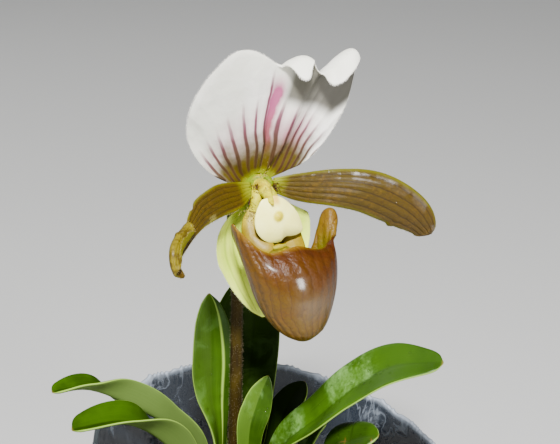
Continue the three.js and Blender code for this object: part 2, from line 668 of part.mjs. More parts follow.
const LEAVES = {
  leaf_1: {
    spine: [[-27.4, 12, 83], [-26.5, 12, 113.5], [-28.5, 16.5, 132], [-28.5, 20.5, 151], [-29, 24, 171]],
    look: [[1, 0, 0.2], [0.8, -0.55, 0.1], [0.5, -0.85, 0.1], [0.5, -0.85, 0.1], [0.5, -0.85, 0.1]],
    half: [[0, 3.8], [0.25, 4.4], [0.38, 6.2], [0.5, 8.2], [0.65, 9.4], [0.85, 7.3], [0.95, 4], [1, 1]],
    fold: [[0, 42], [0.3, 25], [1, 6]],
  },
  leaf_2: {
    spine: [[-17, 20.8, 83], [-15.5, 24, 108], [-14, 29, 130], [-12, 33, 154], [-11.5, 37, 178]],
    look: [[0, -1, 0.2], [0, -1, 0.2]],
    half: [[0, 5], [0.2, 8], [0.45, 10.2], [0.7, 10.5], [0.87, 8], [0.95, 4.5], [1, 1]],
    fold: [[0, 40], [0.3, 22], [1, 8]],
  },
  leaf_3: {
    spine: [[-14, 3.6, 83], [-14, 2, 120], [-11, 4, 134], [-6.5, 7, 145]],
    look: [[0.2, -1, 0.3], [0.2, -1, 0.3]],
    half: [[0, 2.6], [0.25, 4.6], [0.55, 6.3], [0.8, 5], [0.94, 2.4], [1, 0.8]],
    fold: [[0, 30], [0.4, 25], [1, 18]],
  },
  leaf_4: {
    spine: [
      [-9.2, 11, 81], [-1, 4, 114], [12.6, -3, 132.4],
      [24.8, -8, 148], [38.6, -13, 160.6], [56, -20, 167],
    ],
    look: [
      [-1, 0, 0.4], [-0.7, -0.2, 0.7], [-0.5, -0.2, 0.8],
      [-0.4, -0.2, 0.8], [-0.3, -0.25, 0.85], [-0.1, -0.3, 0.9],
    ],
    half: [[0, 4], [0.18, 7.5], [0.4, 10.5], [0.6, 11.7], [0.8, 10.2], [0.93, 5.6], [1, 1]],
    fold: [[0, 42], [0.3, 25], [1, 10]],
  },
  leaf_5: {
    spine: [[14.6, -4.8, 81], [18, -8, 120.5], [24.5, -13, 129], [34, -19, 135.5]],
    look: [[-0.8, 0.3, 0.5], [-0.3, -0.2, 0.9], [-0.1, -0.3, 1], [-0.1, -0.3, 1]],
    half: [[0, 3.4], [0.3, 7], [0.6, 8.8], [0.85, 6.6], [0.95, 3.6], [1, 1]],
    fold: [[0, 40], [0.4, 15], [1, 8]],
  },
  leaf_6: {
    spine: [[-8.6, 19, 82], [-4, 24, 102], [1, 31, 115], [8, 38, 123]],
    look: [[-0.7, -0.7, 0.4], [-0.6, -0.7, 0.5], [-0.6, -0.7, 0.5], [-0.5, -0.6, 0.7]],
    half: [[0, 3.6], [0.3, 6], [0.6, 7.6], [0.85, 5.6], [0.95, 3], [1, 1]],
    fold: [[0, 40], [0.4, 20], [1, 8]],
  },
  leaf_7: {
    spine: [[6, 4, 82], [7, 7, 108], [11, 9, 118], [16, 11, 123]],
    look: [[0.2, -1, 0.4], [-0.2, -0.7, 0.7], [-0.5, -0.5, 0.7], [-0.4, -0.4, 0.8]],
    half: [[0, 2.4], [0.3, 3.2], [0.6, 3.6], [0.85, 2.8], [0.95, 1.6], [1, 0.7]],
    fold: [[0, 35], [0.4, 25], [1, 12]],
  },
  leaf_8: {
    spine: [
      [-30.6, 12, 81], [-34.8, 14, 110], [-48, 10.5, 123.2],
      [-61, 6.8, 134], [-74.5, 2.8, 142], [-86.5, -4, 144.5],
    ],
    look: [
      [1, 0, 0.4], [0.6, 0.7, 0.4], [0.35, 0.9, 0.2],
      [0.2, 0.95, 0.2], [0, 0.2, 1], [-0.1, 0.12, 1],
    ],
    half: [[0, 3.6], [0.2, 4.8], [0.45, 9.2], [0.65, 8.8], [0.85, 6.8], [0.95, 4], [1, 1]],
    fold: [[0, 42], [0.3, 35], [0.65, 36], [0.85, 33], [1, 20]],
  },
  leaf_9: {
    spine: [
      [-34, 11, 80], [-39.4, 2.8, 104.3], [-45.8, -2.8, 121.8],
      [-59.4, -10, 135.2], [-77.9, -18, 137.2],
    ],
    look: [[1, 0, 0.4], [0.6, 0.8, 0.3], [0.15, 0.72, 0.68], [-0.05, -0.1, 1], [-0.2, -0.1, 1]],
    half: [[0, 3.8], [0.22, 8.2], [0.45, 10], [0.65, 9.3], [0.85, 8.2], [0.95, 6.2], [1, 1]],
    fold: [[0, 45], [0.3, 45], [0.7, 42], [1, 28]],
  },
};

// ---------- the whole plant ----------

const LOOKS = {
  clear_plastic: { color: 0x8fa3b5, roughness: 0.25, metalness: 0 },
  bark: { color: 0x4a3526, roughness: 0.95, metalness: 0 },
  sheath: { color: 0x7f9a4a, roughness: 0.6, metalness: 0 },
  stem: { color: 0x4b3a1e, roughness: 0.8, metalness: 0 },
  white_sepal: { color: 0xf1ede6, roughness: 0.55, metalness: 0 },
  green_sepal: { color: 0xcfdc9a, roughness: 0.5, metalness: 0 },
  petal: { color: 0x8a6a1f, roughness: 0.3, metalness: 0 },
  lip: { color: 0x96561d, roughness: 0.2, metalness: 0 },
  shield: { color: 0xf4efc4, roughness: 0.45, metalness: 0 },
  leaf: { color: 0x3f7d22, roughness: 0.35, metalness: 0 },
};

const plant = new THREE.Group();

function add(name, geometry, look) {
  const mesh = new THREE.Mesh(geometry, new THREE.MeshStandardMaterial(LOOKS[look]));
  mesh.name = name;
  plant.add(mesh);
}

add("pot", makePot(), "clear_plastic");
add("growing_medium", makeMedium(), "bark");
add("growth_main", makeGrowth(), "sheath");
add("growth_young", makeYoungGrowth(), "sheath");

const bract = sheet(blade(BRACT), 6, 8, 0.8);
add("flower_stem", fuse(rod(STEM_PATH, 12, 26, stemRadius), bract), "stem");

add("dorsal_sepal", sheet(dorsalSepal, 46, 13, SEPAL_THICKNESS), "white_sepal");
add("synsepal", sheet(blade(SYNSEPAL), 8, 12, SEPAL_THICKNESS), "green_sepal");
add("petal_right", sheet(blade(PETAL_RIGHT), 6, 17, PETAL_THICKNESS), "petal");
add("petal_left", sheet(blade(PETAL_LEFT), 6, 17, PETAL_THICKNESS), "petal");
add("lip_pouch", makeLip(), "lip");
add("column", makeColumn(), "shield");

for (const [name, shape] of Object.entries(LEAVES)) {
  add(name, sheet(blade(shape), 6, 13, LEAF_THICKNESS), "leaf");
}

export default plant;
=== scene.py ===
"""Lady's slipper orchid in a clear nursery pot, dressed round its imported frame."""

import math
import random
from functools import cache

import bmesh
import bpy
import numpy as np
from bpy.props import FloatProperty, FloatVectorProperty, IntProperty, PointerProperty
from bpy.types import PropertyGroup
from mathutils import Euler, Matrix, Vector, noise


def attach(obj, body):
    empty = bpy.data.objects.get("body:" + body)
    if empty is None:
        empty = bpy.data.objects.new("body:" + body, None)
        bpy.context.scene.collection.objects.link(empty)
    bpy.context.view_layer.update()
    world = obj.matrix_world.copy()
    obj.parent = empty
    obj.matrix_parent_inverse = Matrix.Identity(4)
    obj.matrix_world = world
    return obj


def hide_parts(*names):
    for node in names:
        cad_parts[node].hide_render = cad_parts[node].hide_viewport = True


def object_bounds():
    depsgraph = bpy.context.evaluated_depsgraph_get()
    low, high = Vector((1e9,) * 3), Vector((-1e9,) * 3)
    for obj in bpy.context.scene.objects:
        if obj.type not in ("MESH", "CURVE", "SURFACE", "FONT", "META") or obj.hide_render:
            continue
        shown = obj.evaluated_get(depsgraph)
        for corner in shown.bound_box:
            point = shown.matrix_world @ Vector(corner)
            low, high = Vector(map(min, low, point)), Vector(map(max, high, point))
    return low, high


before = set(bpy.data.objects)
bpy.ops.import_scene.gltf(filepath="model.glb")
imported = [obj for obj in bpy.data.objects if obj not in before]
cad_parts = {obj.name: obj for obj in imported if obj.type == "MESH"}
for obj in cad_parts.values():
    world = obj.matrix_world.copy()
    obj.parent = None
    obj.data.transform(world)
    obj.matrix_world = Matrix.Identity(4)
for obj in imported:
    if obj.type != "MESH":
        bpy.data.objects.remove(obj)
CAD_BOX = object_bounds()

bl_info = {
    "name": "Slipper Orchid in a Clear Pot",
    "version": (1, 0, 0),
    "blender": (4, 5, 0),
    "location": "3D View > Sidebar > Orchid",
    "description": "Builds a slipper orchid's flower, leaves, stem, bark and pot round their packed frame",
    "category": "Add Mesh",
}

# Shapes are written in millimetres and become metres when a piece is made.
MM = 0.001
BODY = "root"


def tone(red, green, blue):
    """A screen colour from 0 to 255 as the linear colour that shaders take."""
    def linear(value):
        value /= 255
        return value / 12.92 if value <= 0.04045 else ((value + 0.055) / 1.055) ** 2.4
    return (linear(red), linear(green), linear(blue))


# ---------- sizes and colours that a user can change ----------

def colour(name, description, red, green, blue):
    return FloatVectorProperty(
        name=name, description=description, default=tone(red, green, blue),
        subtype="COLOR", size=3, min=0, max=1,
    )


def length(name, description, default):
    return FloatProperty(
        name=name, description=description, default=default * MM, min=0, unit="LENGTH", precision=5,
    )


def share(name, description, default):
    return FloatProperty(name=name, description=description, default=default, min=0, max=1, subtype="FACTOR")


def power(name, description, default):
    return FloatProperty(name=name, description=description, default=default, min=0, unit="POWER")


class OrchidFlowerLook(PropertyGroup):
    white: colour("Sepal white", "Ground colour of the upper sepal", 236, 233, 226)
    vein: colour("Sepal vein", "Colour of the upper sepal's veins past the brown zone", 104, 42, 66)
    flush: colour("Sepal flush", "Colour of the stripe beside the middle vein", 152, 38, 100)
    brown: colour("Sepal brown", "Colour at the foot of the upper sepal", 76, 62, 0)
    green: colour("Sepal green", "Colour where the sepals join the stem", 134, 142, 0)
    petal: colour("Petal", "Ground colour of the petals", 66, 52, 2)
    petal_vein: colour("Petal vein", "Colour of the petals' veins", 38, 25, 6)
    petal_edge: colour("Petal edge", "Colour of the petals' margins", 92, 90, 4)
    pouch_red: colour("Pouch red", "Colour of the pouch near its mouth", 62, 26, 5)
    pouch_ochre: colour("Pouch ochre", "Colour of the pouch's toe", 78, 56, 0)
    pouch_vein: colour("Pouch vein", "Colour of the pouch's veins", 52, 26, 9)
    shield: colour("Shield", "Colour of the shield in front of the column", 255, 251, 150)
    lower: colour("Lower sepal", "Colour of the lower sepal", 214, 240, 66)
    sepal_thickness: length("Sepal thickness", "Thickness of the sepals", 0.8)
    petal_thickness: length("Petal thickness", "Thickness of the petals", 0.9)
    lip_thickness: length("Pouch thickness", "Thickness of the pouch's wall", 0.9)


class OrchidLeafLook(PropertyGroup):
    upper: colour("Upper face", "Colour of a leaf's upper face", 60, 98, 0)
    deep: colour("Deep green", "Colour of the upper face's darker clouds", 38, 66, 3)
    under: colour("Underside", "Colour of a leaf's underside", 80, 101, 46)
    margin: colour("Margin", "Colour of a leaf's thin pale margin", 140, 172, 70)
    thickness: length("Leaf thickness", "Thickness of a leaf", 1.3)
    stem: colour("Stem", "Colour of the flower stem", 48, 37, 6)
    sheath: colour("Sheath", "Colour of the sheaths at the foot of the leaves", 88, 108, 26)


class OrchidPotLook(PropertyGroup):
    plastic: colour("Plastic", "Tint of the clear pot", 30, 38, 48)
    scale: colour("Limescale", "Colour of the dried streaks on the pot", 142, 150, 160)
    clearness: share("Wall cover", "How much of the light the clean wall stops", 0.8)
    bark: colour("Bark", "Colour of the bark chips", 74, 56, 38)
    moss: colour("Moss", "Colour of the moss between the chips", 62, 84, 14)
    chips: IntProperty(name="Chips", description="Number of loose chips on top", default=150, min=1, max=400)
    seed: IntProperty(name="Seed", description="Start of the random draws", default=7, min=0)


class OrchidStageLook(PropertyGroup):
    floor: colour("Floor", "Colour of the floor", 200, 200, 198)
    key: power("Main light", "Power of the light above", 38)
    front: power("Front light", "Power of the light in front", 4.2)
    side: power("Side light", "Power of the light at the left", 1.2)
    back: power("Back light", "Power of the light behind", 1.5)
    sky: share("Room light", "Strength of the light from all round", 0.12)


class OrchidLook(PropertyGroup):
    flower: PointerProperty(type=OrchidFlowerLook)
    leaf: PointerProperty(type=OrchidLeafLook)
    pot: PointerProperty(type=OrchidPotLook)
    stage: PointerProperty(type=OrchidStageLook)


def look():
    return bpy.context.scene.orchid_look


# ---------- shader maths ----------

def maths(operation, turned_round=False):
    """A method of Wire that adds one maths node."""
    def method(self, *others):
        values = (*others, self) if turned_round else (self, *others)
        return self.finish.node("ShaderNodeMath", {"operation": operation}, dict(enumerate(values)))
    return method


class Wire:
    """An output of a node, on which arithmetic adds further nodes."""

    def __init__(self, finish, socket):
        self.finish = finish
        self.socket = socket

    __add__ = maths("ADD")
    __sub__ = maths("SUBTRACT")
    __rsub__ = maths("SUBTRACT", True)
    __mul__ = maths("MULTIPLY")
    __truediv__ = maths("DIVIDE")
    __pow__ = maths("POWER")
    __abs__ = maths("ABSOLUTE")
    __radd__ = maths("ADD", True)
    fraction = maths("FRACT")
    least = maths("MINIMUM")
    most = maths("MAXIMUM")

    def beside(self):
        """Distance from the nearest whole number, from 0 to 0.5."""
        return abs((self + 0.5).fraction() - 0.5)

    def ridge(self, width):
        """1 at zero, falling in a straight line to 0 at the width."""
        return (1 - self / width).most(0)

    def rise(self, low, high):
        """0 below low and 1 above high, smooth between, or falling where low is the higher."""
        if low > high:
            return 1 - self.rise(high, low)
        settings = {"interpolation_type": "SMOOTHSTEP"}
        return self.finish.node("ShaderNodeMapRange", settings, {0: self, 1: low, 2: high, 3: 0.0, 4: 1.0})

    def bump_at(self, centre, width):
        """1 at the centre and 0 from a width away."""
        return abs(self - centre).rise(width, 0)


class Finish:
    """A material under construction: its nodes and its shader."""

    def __init__(self, name, **constants):
        self.material = bpy.data.materials.new(name)
        self.material.use_nodes = True
        self.tree = self.material.node_tree
        self.tree.nodes.clear()
        self.shader = self.tree.nodes.new("ShaderNodeBsdfPrincipled")
        output = self.tree.nodes.new("ShaderNodeOutputMaterial")
        self.tree.links.new(self.shader.outputs[0], output.inputs[0])
        self.set(**constants)

    def put(self, socket, value):
        if isinstance(value, Wire):
            self.tree.links.new(value.socket, socket)
        elif hasattr(value, "__len__") and socket.type == "RGBA":
            socket.default_value = (*value[:3], 1.0)
        else:
            socket.default_value = value

    def node(self, kind, settings=None, sockets=None, output=0):
        made = self.tree.nodes.new(kind)
        for key, value in (settings or {}).items():
            setattr(made, key, value)
        for key, value in (sockets or {}).items():
            self.put(made.inputs[key], value)
        return Wire(self, made.outputs[output])

    def set(self, **values):
        """Sets the shader's own sockets, named in lower case with _ for a space."""
        for socket in self.shader.inputs:
            key = socket.name.lower().replace(" ", "_")
            if key in values:
                self.put(socket, values.pop(key))
        if values:
            raise ValueError(f"no such socket: {sorted(values)}")

    def mix(self, factor, first, second, way="MIX"):
        settings = {"data_type": "RGBA", "blend_type": way}
        return self.node("ShaderNodeMix", settings, {0: factor, 6: first, 7: second}, 2)

    def layers(self, ground, *coats):
        """A ground colour under coats, each told by its cover and its colour."""
        for cover, tint in coats:
            ground = self.mix(cover, ground, tint)
        return ground

    def faced(self, side, front, back):
        """One colour on the face where side is 1 and one where it is -1."""
        return self.mix(side.rise(0.1, -0.1), front, back)

    def place(self):
        """Places in metres in the model's own frame."""
        return self.node("ShaderNodeTexCoord", output=3)

    def stretched(self, x, y, z):
        return self.node("ShaderNodeVectorMath", {"operation": "MULTIPLY"}, {0: self.place(), 1: (x, y, z)})

    def lay(self):
        """Each piece's own coordinates: across, along and which face."""
        marks = self.node("ShaderNodeAttribute", {"attribute_name": "lay"}, output=1)
        return [self.node("ShaderNodeSeparateXYZ", None, {0: marks}, axis) for axis in range(3)]

    def joined(self, x, y):
        return self.node("ShaderNodeCombineXYZ", None, {0: x, 1: y})

    def noise(self, scale, detail=3, rough=0.55, warp=0.0, where=None):
        where = where or self.place()
        values = {"Vector": where, "Scale": scale, "Detail": detail, "Roughness": rough, "Distortion": warp}
        return self.node("ShaderNodeTexNoise", None, values)

    def cells(self, scale, feature="F1", where=None):
        where = where or self.place()
        return self.node("ShaderNodeTexVoronoi", {"feature": feature}, {"Vector": where, "Scale": scale})

    def net(self, x, y, width):
        """Fine lines between cells of about one unit."""
        return self.cells(1.0, "DISTANCE_TO_EDGE", self.joined(x, y)).rise(width, 0.0)

    def bump(self, height, depth, strength=1.0):
        """Relief from a height of 0 to 1, as deep as the given millimetres. Gives the finished material."""
        values = {"Height": height, "Distance": depth * MM, "Strength": strength}
        self.set(normal=self.node("ShaderNodeBump", None, values))
        return self.material


# ---------- curves ----------

def ease(keys, t, column=1):
    """A smooth curve through rows of keys: a position, then the value in the column."""
    last = len(keys) - 1
    if t <= keys[0][0]:
        return keys[0][column]
    if t >= keys[last][0]:
        return keys[last][column]
    i = 0
    while keys[i + 1][0] <= t:
        i += 1

    def slope(k):
        before = keys[max(k - 1, 0)]
        after = keys[min(k + 1, last)]
        return (after[column] - before[column]) / (after[0] - before[0])

    span = keys[i + 1][0] - keys[i][0]
    x = (t - keys[i][0]) / span
    rise = x * x * (3 - 2 * x)
    leave = x * (1 - x) ** 2 * span * slope(i)
    arrive = x * x * (x - 1) * span * slope(i + 1)
    return keys[i][column] * (1 - rise) + keys[i + 1][column] * rise + leave + arrive


def spline(points, t):
    """A smooth curve through evenly spaced points, t from 0 to 1."""
    last = len(points) - 1
    keys = [(i / last, *p) for i, p in enumerate(points)]
    return Vector([ease(keys, t, axis) for axis in (1, 2, 3)])


def heading(points, t):
    return (spline(points, min(t + 0.002, 1)) - spline(points, max(t - 0.002, 0))).normalized()


def path_frame(points, t):
    """A place on a path, the way it runs there, and two ways across it."""
    way = heading(points, t)
    left = (Vector((1, 0, 0)) - way * way.x).normalized()
    return spline(points, t), way, left, way.cross(left)


def polar(reach, angle, z):
    return Vector((reach * math.cos(angle), reach * math.sin(angle), z))


def arc(reach, angle, bend):
    """End of a line that sets off at an angle and bends by a constant amount per mm."""
    if abs(bend) < 1e-6:
        return reach * math.cos(angle), reach * math.sin(angle)
    end = angle + bend * reach
    return (math.sin(end) - math.sin(angle)) / bend, (math.cos(angle) - math.cos(end)) / bend


def bell(x, centre, width):
    return math.exp(-(((x - centre) / width) ** 2))


HUB = Vector((-8.2, -8.0, 229.7))
FACING = math.radians(32)


def flower(s, u, n):
    """The flower's own frame: s to its left as it looks out, u up, n out of its face."""
    cosine, sine = math.cos(FACING), math.sin(FACING)
    return HUB + Vector((s * cosine + n * sine, s * sine - n * cosine, u))


def flower_path(points):
    return [tuple(flower(*p)) for p in points]


def eased_steps(count):
    """Steps from 0 to 1 that crowd towards 1."""
    return [math.sin(math.pi / 2 * i / count) for i in range(count + 1)]


def both_ways(count):
    """Steps from -1 to 1 that crowd towards both ends."""
    return [math.sin(math.pi * (i / count - 0.5)) for i in range(count + 1)]


# ---------- forms ----------

class Form:
    """Points in mm, faces, and each face corner's lay."""

    def __init__(self):
        self.points = []
        self.faces = []
        self.marks = []

    def add(self, points, faces, marks):
        start = len(self.points)
        self.points.extend(Vector(p) for p in points)
        self.marks.extend(marks)
        self.faces.extend(tuple(start + i for i in face) for face in faces)

    def faced_out(self):
        """Turns every face if they point into the form."""
        volume = 0
        for face in self.faces:
            for i in range(1, len(face) - 1):
                a, b, c = (self.points[k] for k in (face[0], face[i], face[i + 1]))
                volume += a.cross(b).dot(c)
        if volume < 0:
            self.faces = [tuple(reversed(face)) for face in self.faces]
        return self

    def joined(self, *others):
        for other in others:
            self.add(other.points, other.faces, other.marks)
        return self


LOW, HIGH = (Vector(corner) / MM for corner in CAD_BOX)


def inside(point):
    """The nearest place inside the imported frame's box."""
    return Vector([min(max(p, low), high) for p, low, high in zip(point, LOW, HIGH)])


def make_piece(name, form, finish, replaced=(), flat=False, turn=None):
    """A piece of the plant or pot. turn is the lay's period round a closed form."""
    mesh = bpy.data.meshes.new(name)
    mesh.from_pydata([tuple(inside(p) * MM) for p in form.points], [], form.faces)
    mesh.polygons.foreach_set("use_smooth", [not flat] * len(mesh.polygons))
    corners = []
    for face in form.faces:
        marks = [form.marks[i] for i in face]
        if turn:
            top = max(m[0] for m in marks)
            marks = [(m[0] + turn, *m[1:]) if top - m[0] > turn / 2 else m for m in marks]
        corners.extend(marks)
    lay = mesh.attributes.new("lay", "FLOAT_VECTOR", "CORNER")
    lay.data.foreach_set("vector", np.array(corners, dtype=np.float32).ravel())
    mesh.materials.append(finish)
    mesh.update()
    piece = bpy.data.objects.new(name, mesh)
    bpy.context.scene.collection.objects.link(piece)
    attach(piece, BODY)
    if replaced:
        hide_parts(*replaced)
    return piece


def sheet(point, across, along, thick, marks=None):
    """A closed sheet round point(u, t), thinning to a round margin at its sides and its tip."""
    marks = marks or (lambda u, t: (u, t))
    rows, columns = len(along), len(across)
    grid = np.array([[tuple(point(u, t)) for u in across] for t in along])
    normals = np.cross(np.gradient(grid, axis=1), np.gradient(grid, axis=0))
    normals /= np.maximum(np.linalg.norm(normals, axis=2, keepdims=True), 1e-9)
    half = np.array([[thick(u, t) / 2 for u in across] for t in along])[..., None]
    raised = grid + normals * half
    raised[:, 0], raised[:, -1], raised[-1] = grid[:, 0], grid[:, -1], grid[-1]
    sunk = (grid - normals * half)[:-1, 1:-1]
    points = [*raised.reshape(-1, 3), *sunk.reshape(-1, 3)]
    side = np.ones((rows, columns))
    side[:, 0] = side[:, -1] = side[-1] = 0
    told = [(*marks(u, t), float(side[j, i])) for j, t in enumerate(along) for i, u in enumerate(across)]
    told += [(*marks(u, t), -1.0) for t in along[:-1] for u in across[1:-1]]
    upper = np.arange(rows * columns).reshape(rows, columns)
    lower = upper.copy()
    lower[:-1, 1:-1] = rows * columns + np.arange((rows - 1) * (columns - 2)).reshape(rows - 1, columns - 2)
    faces = []
    for j in range(rows - 1):
        for i in range(columns - 1):
            faces.append((upper[j, i], upper[j, i + 1], upper[j + 1, i + 1], upper[j + 1, i]))
            faces.append((lower[j, i], lower[j + 1, i], lower[j + 1, i + 1], lower[j, i + 1]))
    faces += [(upper[0, i + 1], upper[0, i], lower[0, i], lower[0, i + 1]) for i in range(columns - 1)]
    form = Form()
    form.add(points, [tuple(dict.fromkeys(int(k) for k in face)) for face in faces], told)
    return form.faced_out()


def turned(rings, sides, place, first, last):
    """A closed form: rings of points joined in order, with a point at each end.

    place(ring, angle, share of the turn) gives a point of a ring and its lay.
    """
    told = [place(ring, 2 * math.pi * i / sides, i / sides) for ring in rings for i in range(sides)]
    points, marks = zip(*told)
    end = len(points)
    top = end - sides
    faces = []
    for i in range(sides):
        j = (i + 1) % sides
        faces += [(end, j, i), (end + 1, top + i, top + j)]
        faces += [(r + i, r + j, r + sides + j, r + sides + i) for r in range(0, top, sides)]
    form = Form()
    form.add([*points, first, last], faces, [*marks, marks[0], marks[-1]])
    return form.faced_out()


def tube(path, sides, along, radius):
    """A solid rod along a path. radius(t, angle) gives its surface."""
    def place(ring, angle, share):
        t, centre, _, left, up = ring
        r = radius(t, angle)
        return centre + left * (r * math.cos(angle)) + up * (r * math.sin(angle)), (share, t, 1.0)

    rings = [(j / along, *path_frame(path, j / along)) for j in range(along + 1)]
    return turned(rings, sides, place, spline(path, 0), spline(path, 1))


def needle(form, root, tip, width, sag=0.0):
    """A hair: a slim three-sided spike with a bend in the middle."""
    way = tip - root
    across = way.orthogonal().normalized()
    up = way.normalized().cross(across)
    drop = Vector((0, 0, -sag))
    points = []
    for place, share_of_width in ((root, 1.0), (root + way * 0.55 + drop * 0.4, 0.6)):
        for k in range(3):
            angle = 2 * math.pi * k / 3
            points.append(place + (across * math.cos(angle) + up * math.sin(angle)) * width * share_of_width)
    points.append(tip + drop)
    faces = [(0, 2, 1)]
    for k in range(3):
        n = (k + 1) % 3
        faces.append((k, n, 3 + n, 3 + k))
        faces.append((3 + k, 3 + n, 6))
    form.add(points, faces, [(0.0, 0.0, 1.0)] * 3 + [(0.0, 0.5, 1.0)] * 3 + [(0.0, 1.0, 1.0)])


HAIR_LEAN = 0.45
HAIR_WIDTH = 0.045
HAIR_SAG = 0.08


def fringe(form, point, places, inward, hair, thickness, draw):
    """Hairs round a sheet's margin: places are (u, t) on it and inward(u, t) is a place behind it."""
    for u, t in places:
        root = point(u, t)
        out = (root - point(*inward(u, t))).normalized()
        lean = Vector((draw.uniform(-1, 1), draw.uniform(-1, 1), draw.uniform(-1, 1))) * HAIR_LEAN
        tip = root + (out + lean).normalized() * (hair * draw.uniform(0.5, 1.0))
        needle(form, root - out * thickness * 0.3, tip, HAIR_WIDTH, HAIR_SAG)


# ---------- blades ----------

KEEL_ROUND = 0.7
WAVES = 3.5
FLAP_ROUND = 0.8
FLAP_TURN = math.radians(165)


def margin_reach(shape, u, t, half):
    """Where a flap starts to fold over, how far it turns, and the whole way to the margin."""
    trim = shape["trim"](u, t) if "trim" in shape else 1.0
    flap = ease(shape["flap"], t) if u > 0 and "flap" in shape else 0.0
    turn = FLAP_TURN * min(flap / 2, 1)
    edge = half * trim - FLAP_ROUND * math.sin(min(turn, math.pi / 2))
    return edge, turn, edge + FLAP_ROUND * turn + flap


def blade(shape):
    """The middle surface of a leaf or petal, as a function of u from -1 to 1 and t from 0 to 1."""
    @cache
    def row(t):
        way = heading(shape["spine"], t)
        side = way.cross(spline(shape["look"], t)).normalized()
        fold, curl = (math.radians(ease(shape.get(key, [(0, 0)]), t)) for key in ("fold", "curl"))
        return spline(shape["spine"], t), side, side.cross(way), ease(shape["half"], t), fold, curl

    def point(u, t):
        centre, side, face, half, fold, curl = row(t)
        edge, turn, whole = margin_reach(shape, u, t, half)
        past = max(0.0, abs(u) * whole - edge)
        reach = abs(u) * whole - past
        across, rise = arc(reach, fold, curl)
        if fold:
            rise *= (math.hypot(reach, KEEL_ROUND) - KEEL_ROUND) / max(reach, 1e-6)
        if past:
            rolled = min(past, FLAP_ROUND * turn)
            along, up = arc(rolled, fold + curl * edge, 1 / FLAP_ROUND)
            way = fold + curl * edge + rolled / FLAP_ROUND
            across += along + (past - rolled) * math.cos(way)
            rise += up + (past - rolled) * math.sin(way)
        ripple = shape.get("wave", 0) * u * u * math.sin(2 * math.pi * WAVES * t + u)
        lift = shape["lift"](u, t) if "lift" in shape else 0.0
        return centre + side * math.copysign(across, u) + face * (rise + ripple + lift)

    return point


def margin_thickness(thickness, tip=0.03, power=14):
    """Thickness that rounds off at both sides and at the tip."""
    def thick(u, t):
        side = math.sqrt(max(0.0, 1 - abs(u) ** power))
        end = math.sqrt(max(0.0, min(1.0, (1 - t) / tip)))
        return thickness * side * end
    return thick


# ---------- finishes ----------

def water_finish():
    return Finish(
        "water", base_color=(1, 1, 1), roughness=0.02, ior=1.33, transmission_weight=1.0,
        specular_ior_level=0.8, alpha=0.4,
    ).material


def hair_finish(name, root, tip):
    finish = Finish(name, roughness=0.45)
    _, along, _ = finish.lay()
    finish.set(base_color=finish.mix(along, root, tip))
    return finish.material


def white_sepal_finish(flower_look):
    finish = Finish("white_sepal", specular_ior_level=0.25)
    vein, run, side = finish.lay()
    wander = finish.noise(160, 2) - 0.5
    line = (vein + wander * 0.16).beside()
    blotch = finish.noise(210, 3)
    clouds = finish.noise(55, 4)
    off = abs(vein - MIDDLE_VEIN)
    middle = vein.bump_at(MIDDLE_VEIN, 0.9)
    reach = 37 + middle * 9 - off * 1.5 + (finish.noise(90, 2) - 0.5) * 10
    fade = (reach - run).rise(-4, 8)
    width = 0.12 + run.rise(36, 12) * 0.15
    halo = line.ridge(0.45) * fade
    right = (vein - 6.9).rise(-0.3, 0.8) * run.rise(36, 20) * vein.rise(12, 9.5)
    blush = halo * 0.35 + right * (0.25 + blotch * 0.5) + run.rise(38, 22) * off.rise(5.6, 3) * 0.3
    stripe = (vein + wander * 0.5).bump_at(6.4, 0.62) * run.rise(10, 17) * run.rise(47, 35)
    foot = (run + (blotch - 0.5) * 10 - off * 0.5).rise(28, 12) * off.rise(7.2, 5.4)
    # painted_hood_shadow: a painted shadow, the grey that the rolled lobes of the hood cast on the face below
    # them
    painted_hood_shadow = run.rise(31.5, 37) * vein.rise(6.5, 7.2) * (vein - (run - 38).most(0) * 0.05).rise(12, 11.2)
    white = finish.layers(
        flower_look.white,
        (clouds.rise(0.3, 0.7), tone(224, 223, 208)),
        # Greyer left of the middle vein: painted shade on the side that turns away from the light.
        (vein.rise(6.6, 3) * 0.7, tone(182, 182, 170)),
    )
    front = finish.layers(
        white,
        (blush.least(1), tone(176, 122, 136)),
        (
            (stripe * (0.55 + blotch * 0.7) * 1.5).least(0.92),
            finish.mix(run.rise(34, 24), flower_look.flush, tone(140, 40, 72)),
        ),
        (foot * (0.75 + line).least(1), flower_look.brown),
        (
            (1 - line / width).rise(0, 0.6) * fade * 0.95,
            finish.mix(run.rise(18, 31), tone(58, 34, 8), flower_look.vein),
        ),
        ((run + blotch * 3).rise(10.5, 6), flower_look.green),
        (off.rise(5.8, 7.2) * run.rise(24, 8) * 0.6, tone(206, 214, 120)),
    )
    # Greys the face under the hood lobes: a painted shadow multiplied over the colours.
    front = finish.mix(painted_hood_shadow, front, tone(104, 102, 96), "MULTIPLY")
    back = finish.layers(
        white,
        (halo * 0.4, tone(186, 196, 130)),
        (middle * run.rise(60, 12) * 0.6, tone(136, 160, 46)),
        (run.rise(14, 6), flower_look.green),
    )
    finish.set(base_color=finish.faced(side, front, back), roughness=0.42 + clouds * 0.16)
    grain = finish.noise(1500, 2) * 0.5 + finish.noise(420, 3)
    pucker = finish.noise(80, 2) * 2.2
    return finish.bump(grain * 0.3 + pucker + line.ridge(0.3) * 0.3, 0.5, 0.8)


def lower_sepal_finish(flower_look):
    finish = Finish("lower_sepal", specular_ior_level=0.3)
    across, along, _ = finish.lay()
    line = (across * 5 + (finish.noise(120, 2) - 0.5) * 0.2).beside()
    clouds = finish.noise(90, 4)
    tint = finish.layers(
        flower_look.lower,
        (clouds.rise(0.35, 0.65), tone(226, 244, 90)),
        (line.ridge(0.2) * 0.5, tone(150, 190, 10)),
        (along.rise(0.4, 0.0) * 0.7, tone(159, 192, 10)),
        (abs(across).rise(0.86, 0.99) * 0.4, tone(236, 246, 120)),
    )
    finish.set(base_color=tint, roughness=0.4 + clouds * 0.2)
    return finish.bump(finish.noise(900, 2) * 0.5 + line.ridge(0.3) * 0.6, 0.2, 0.8)


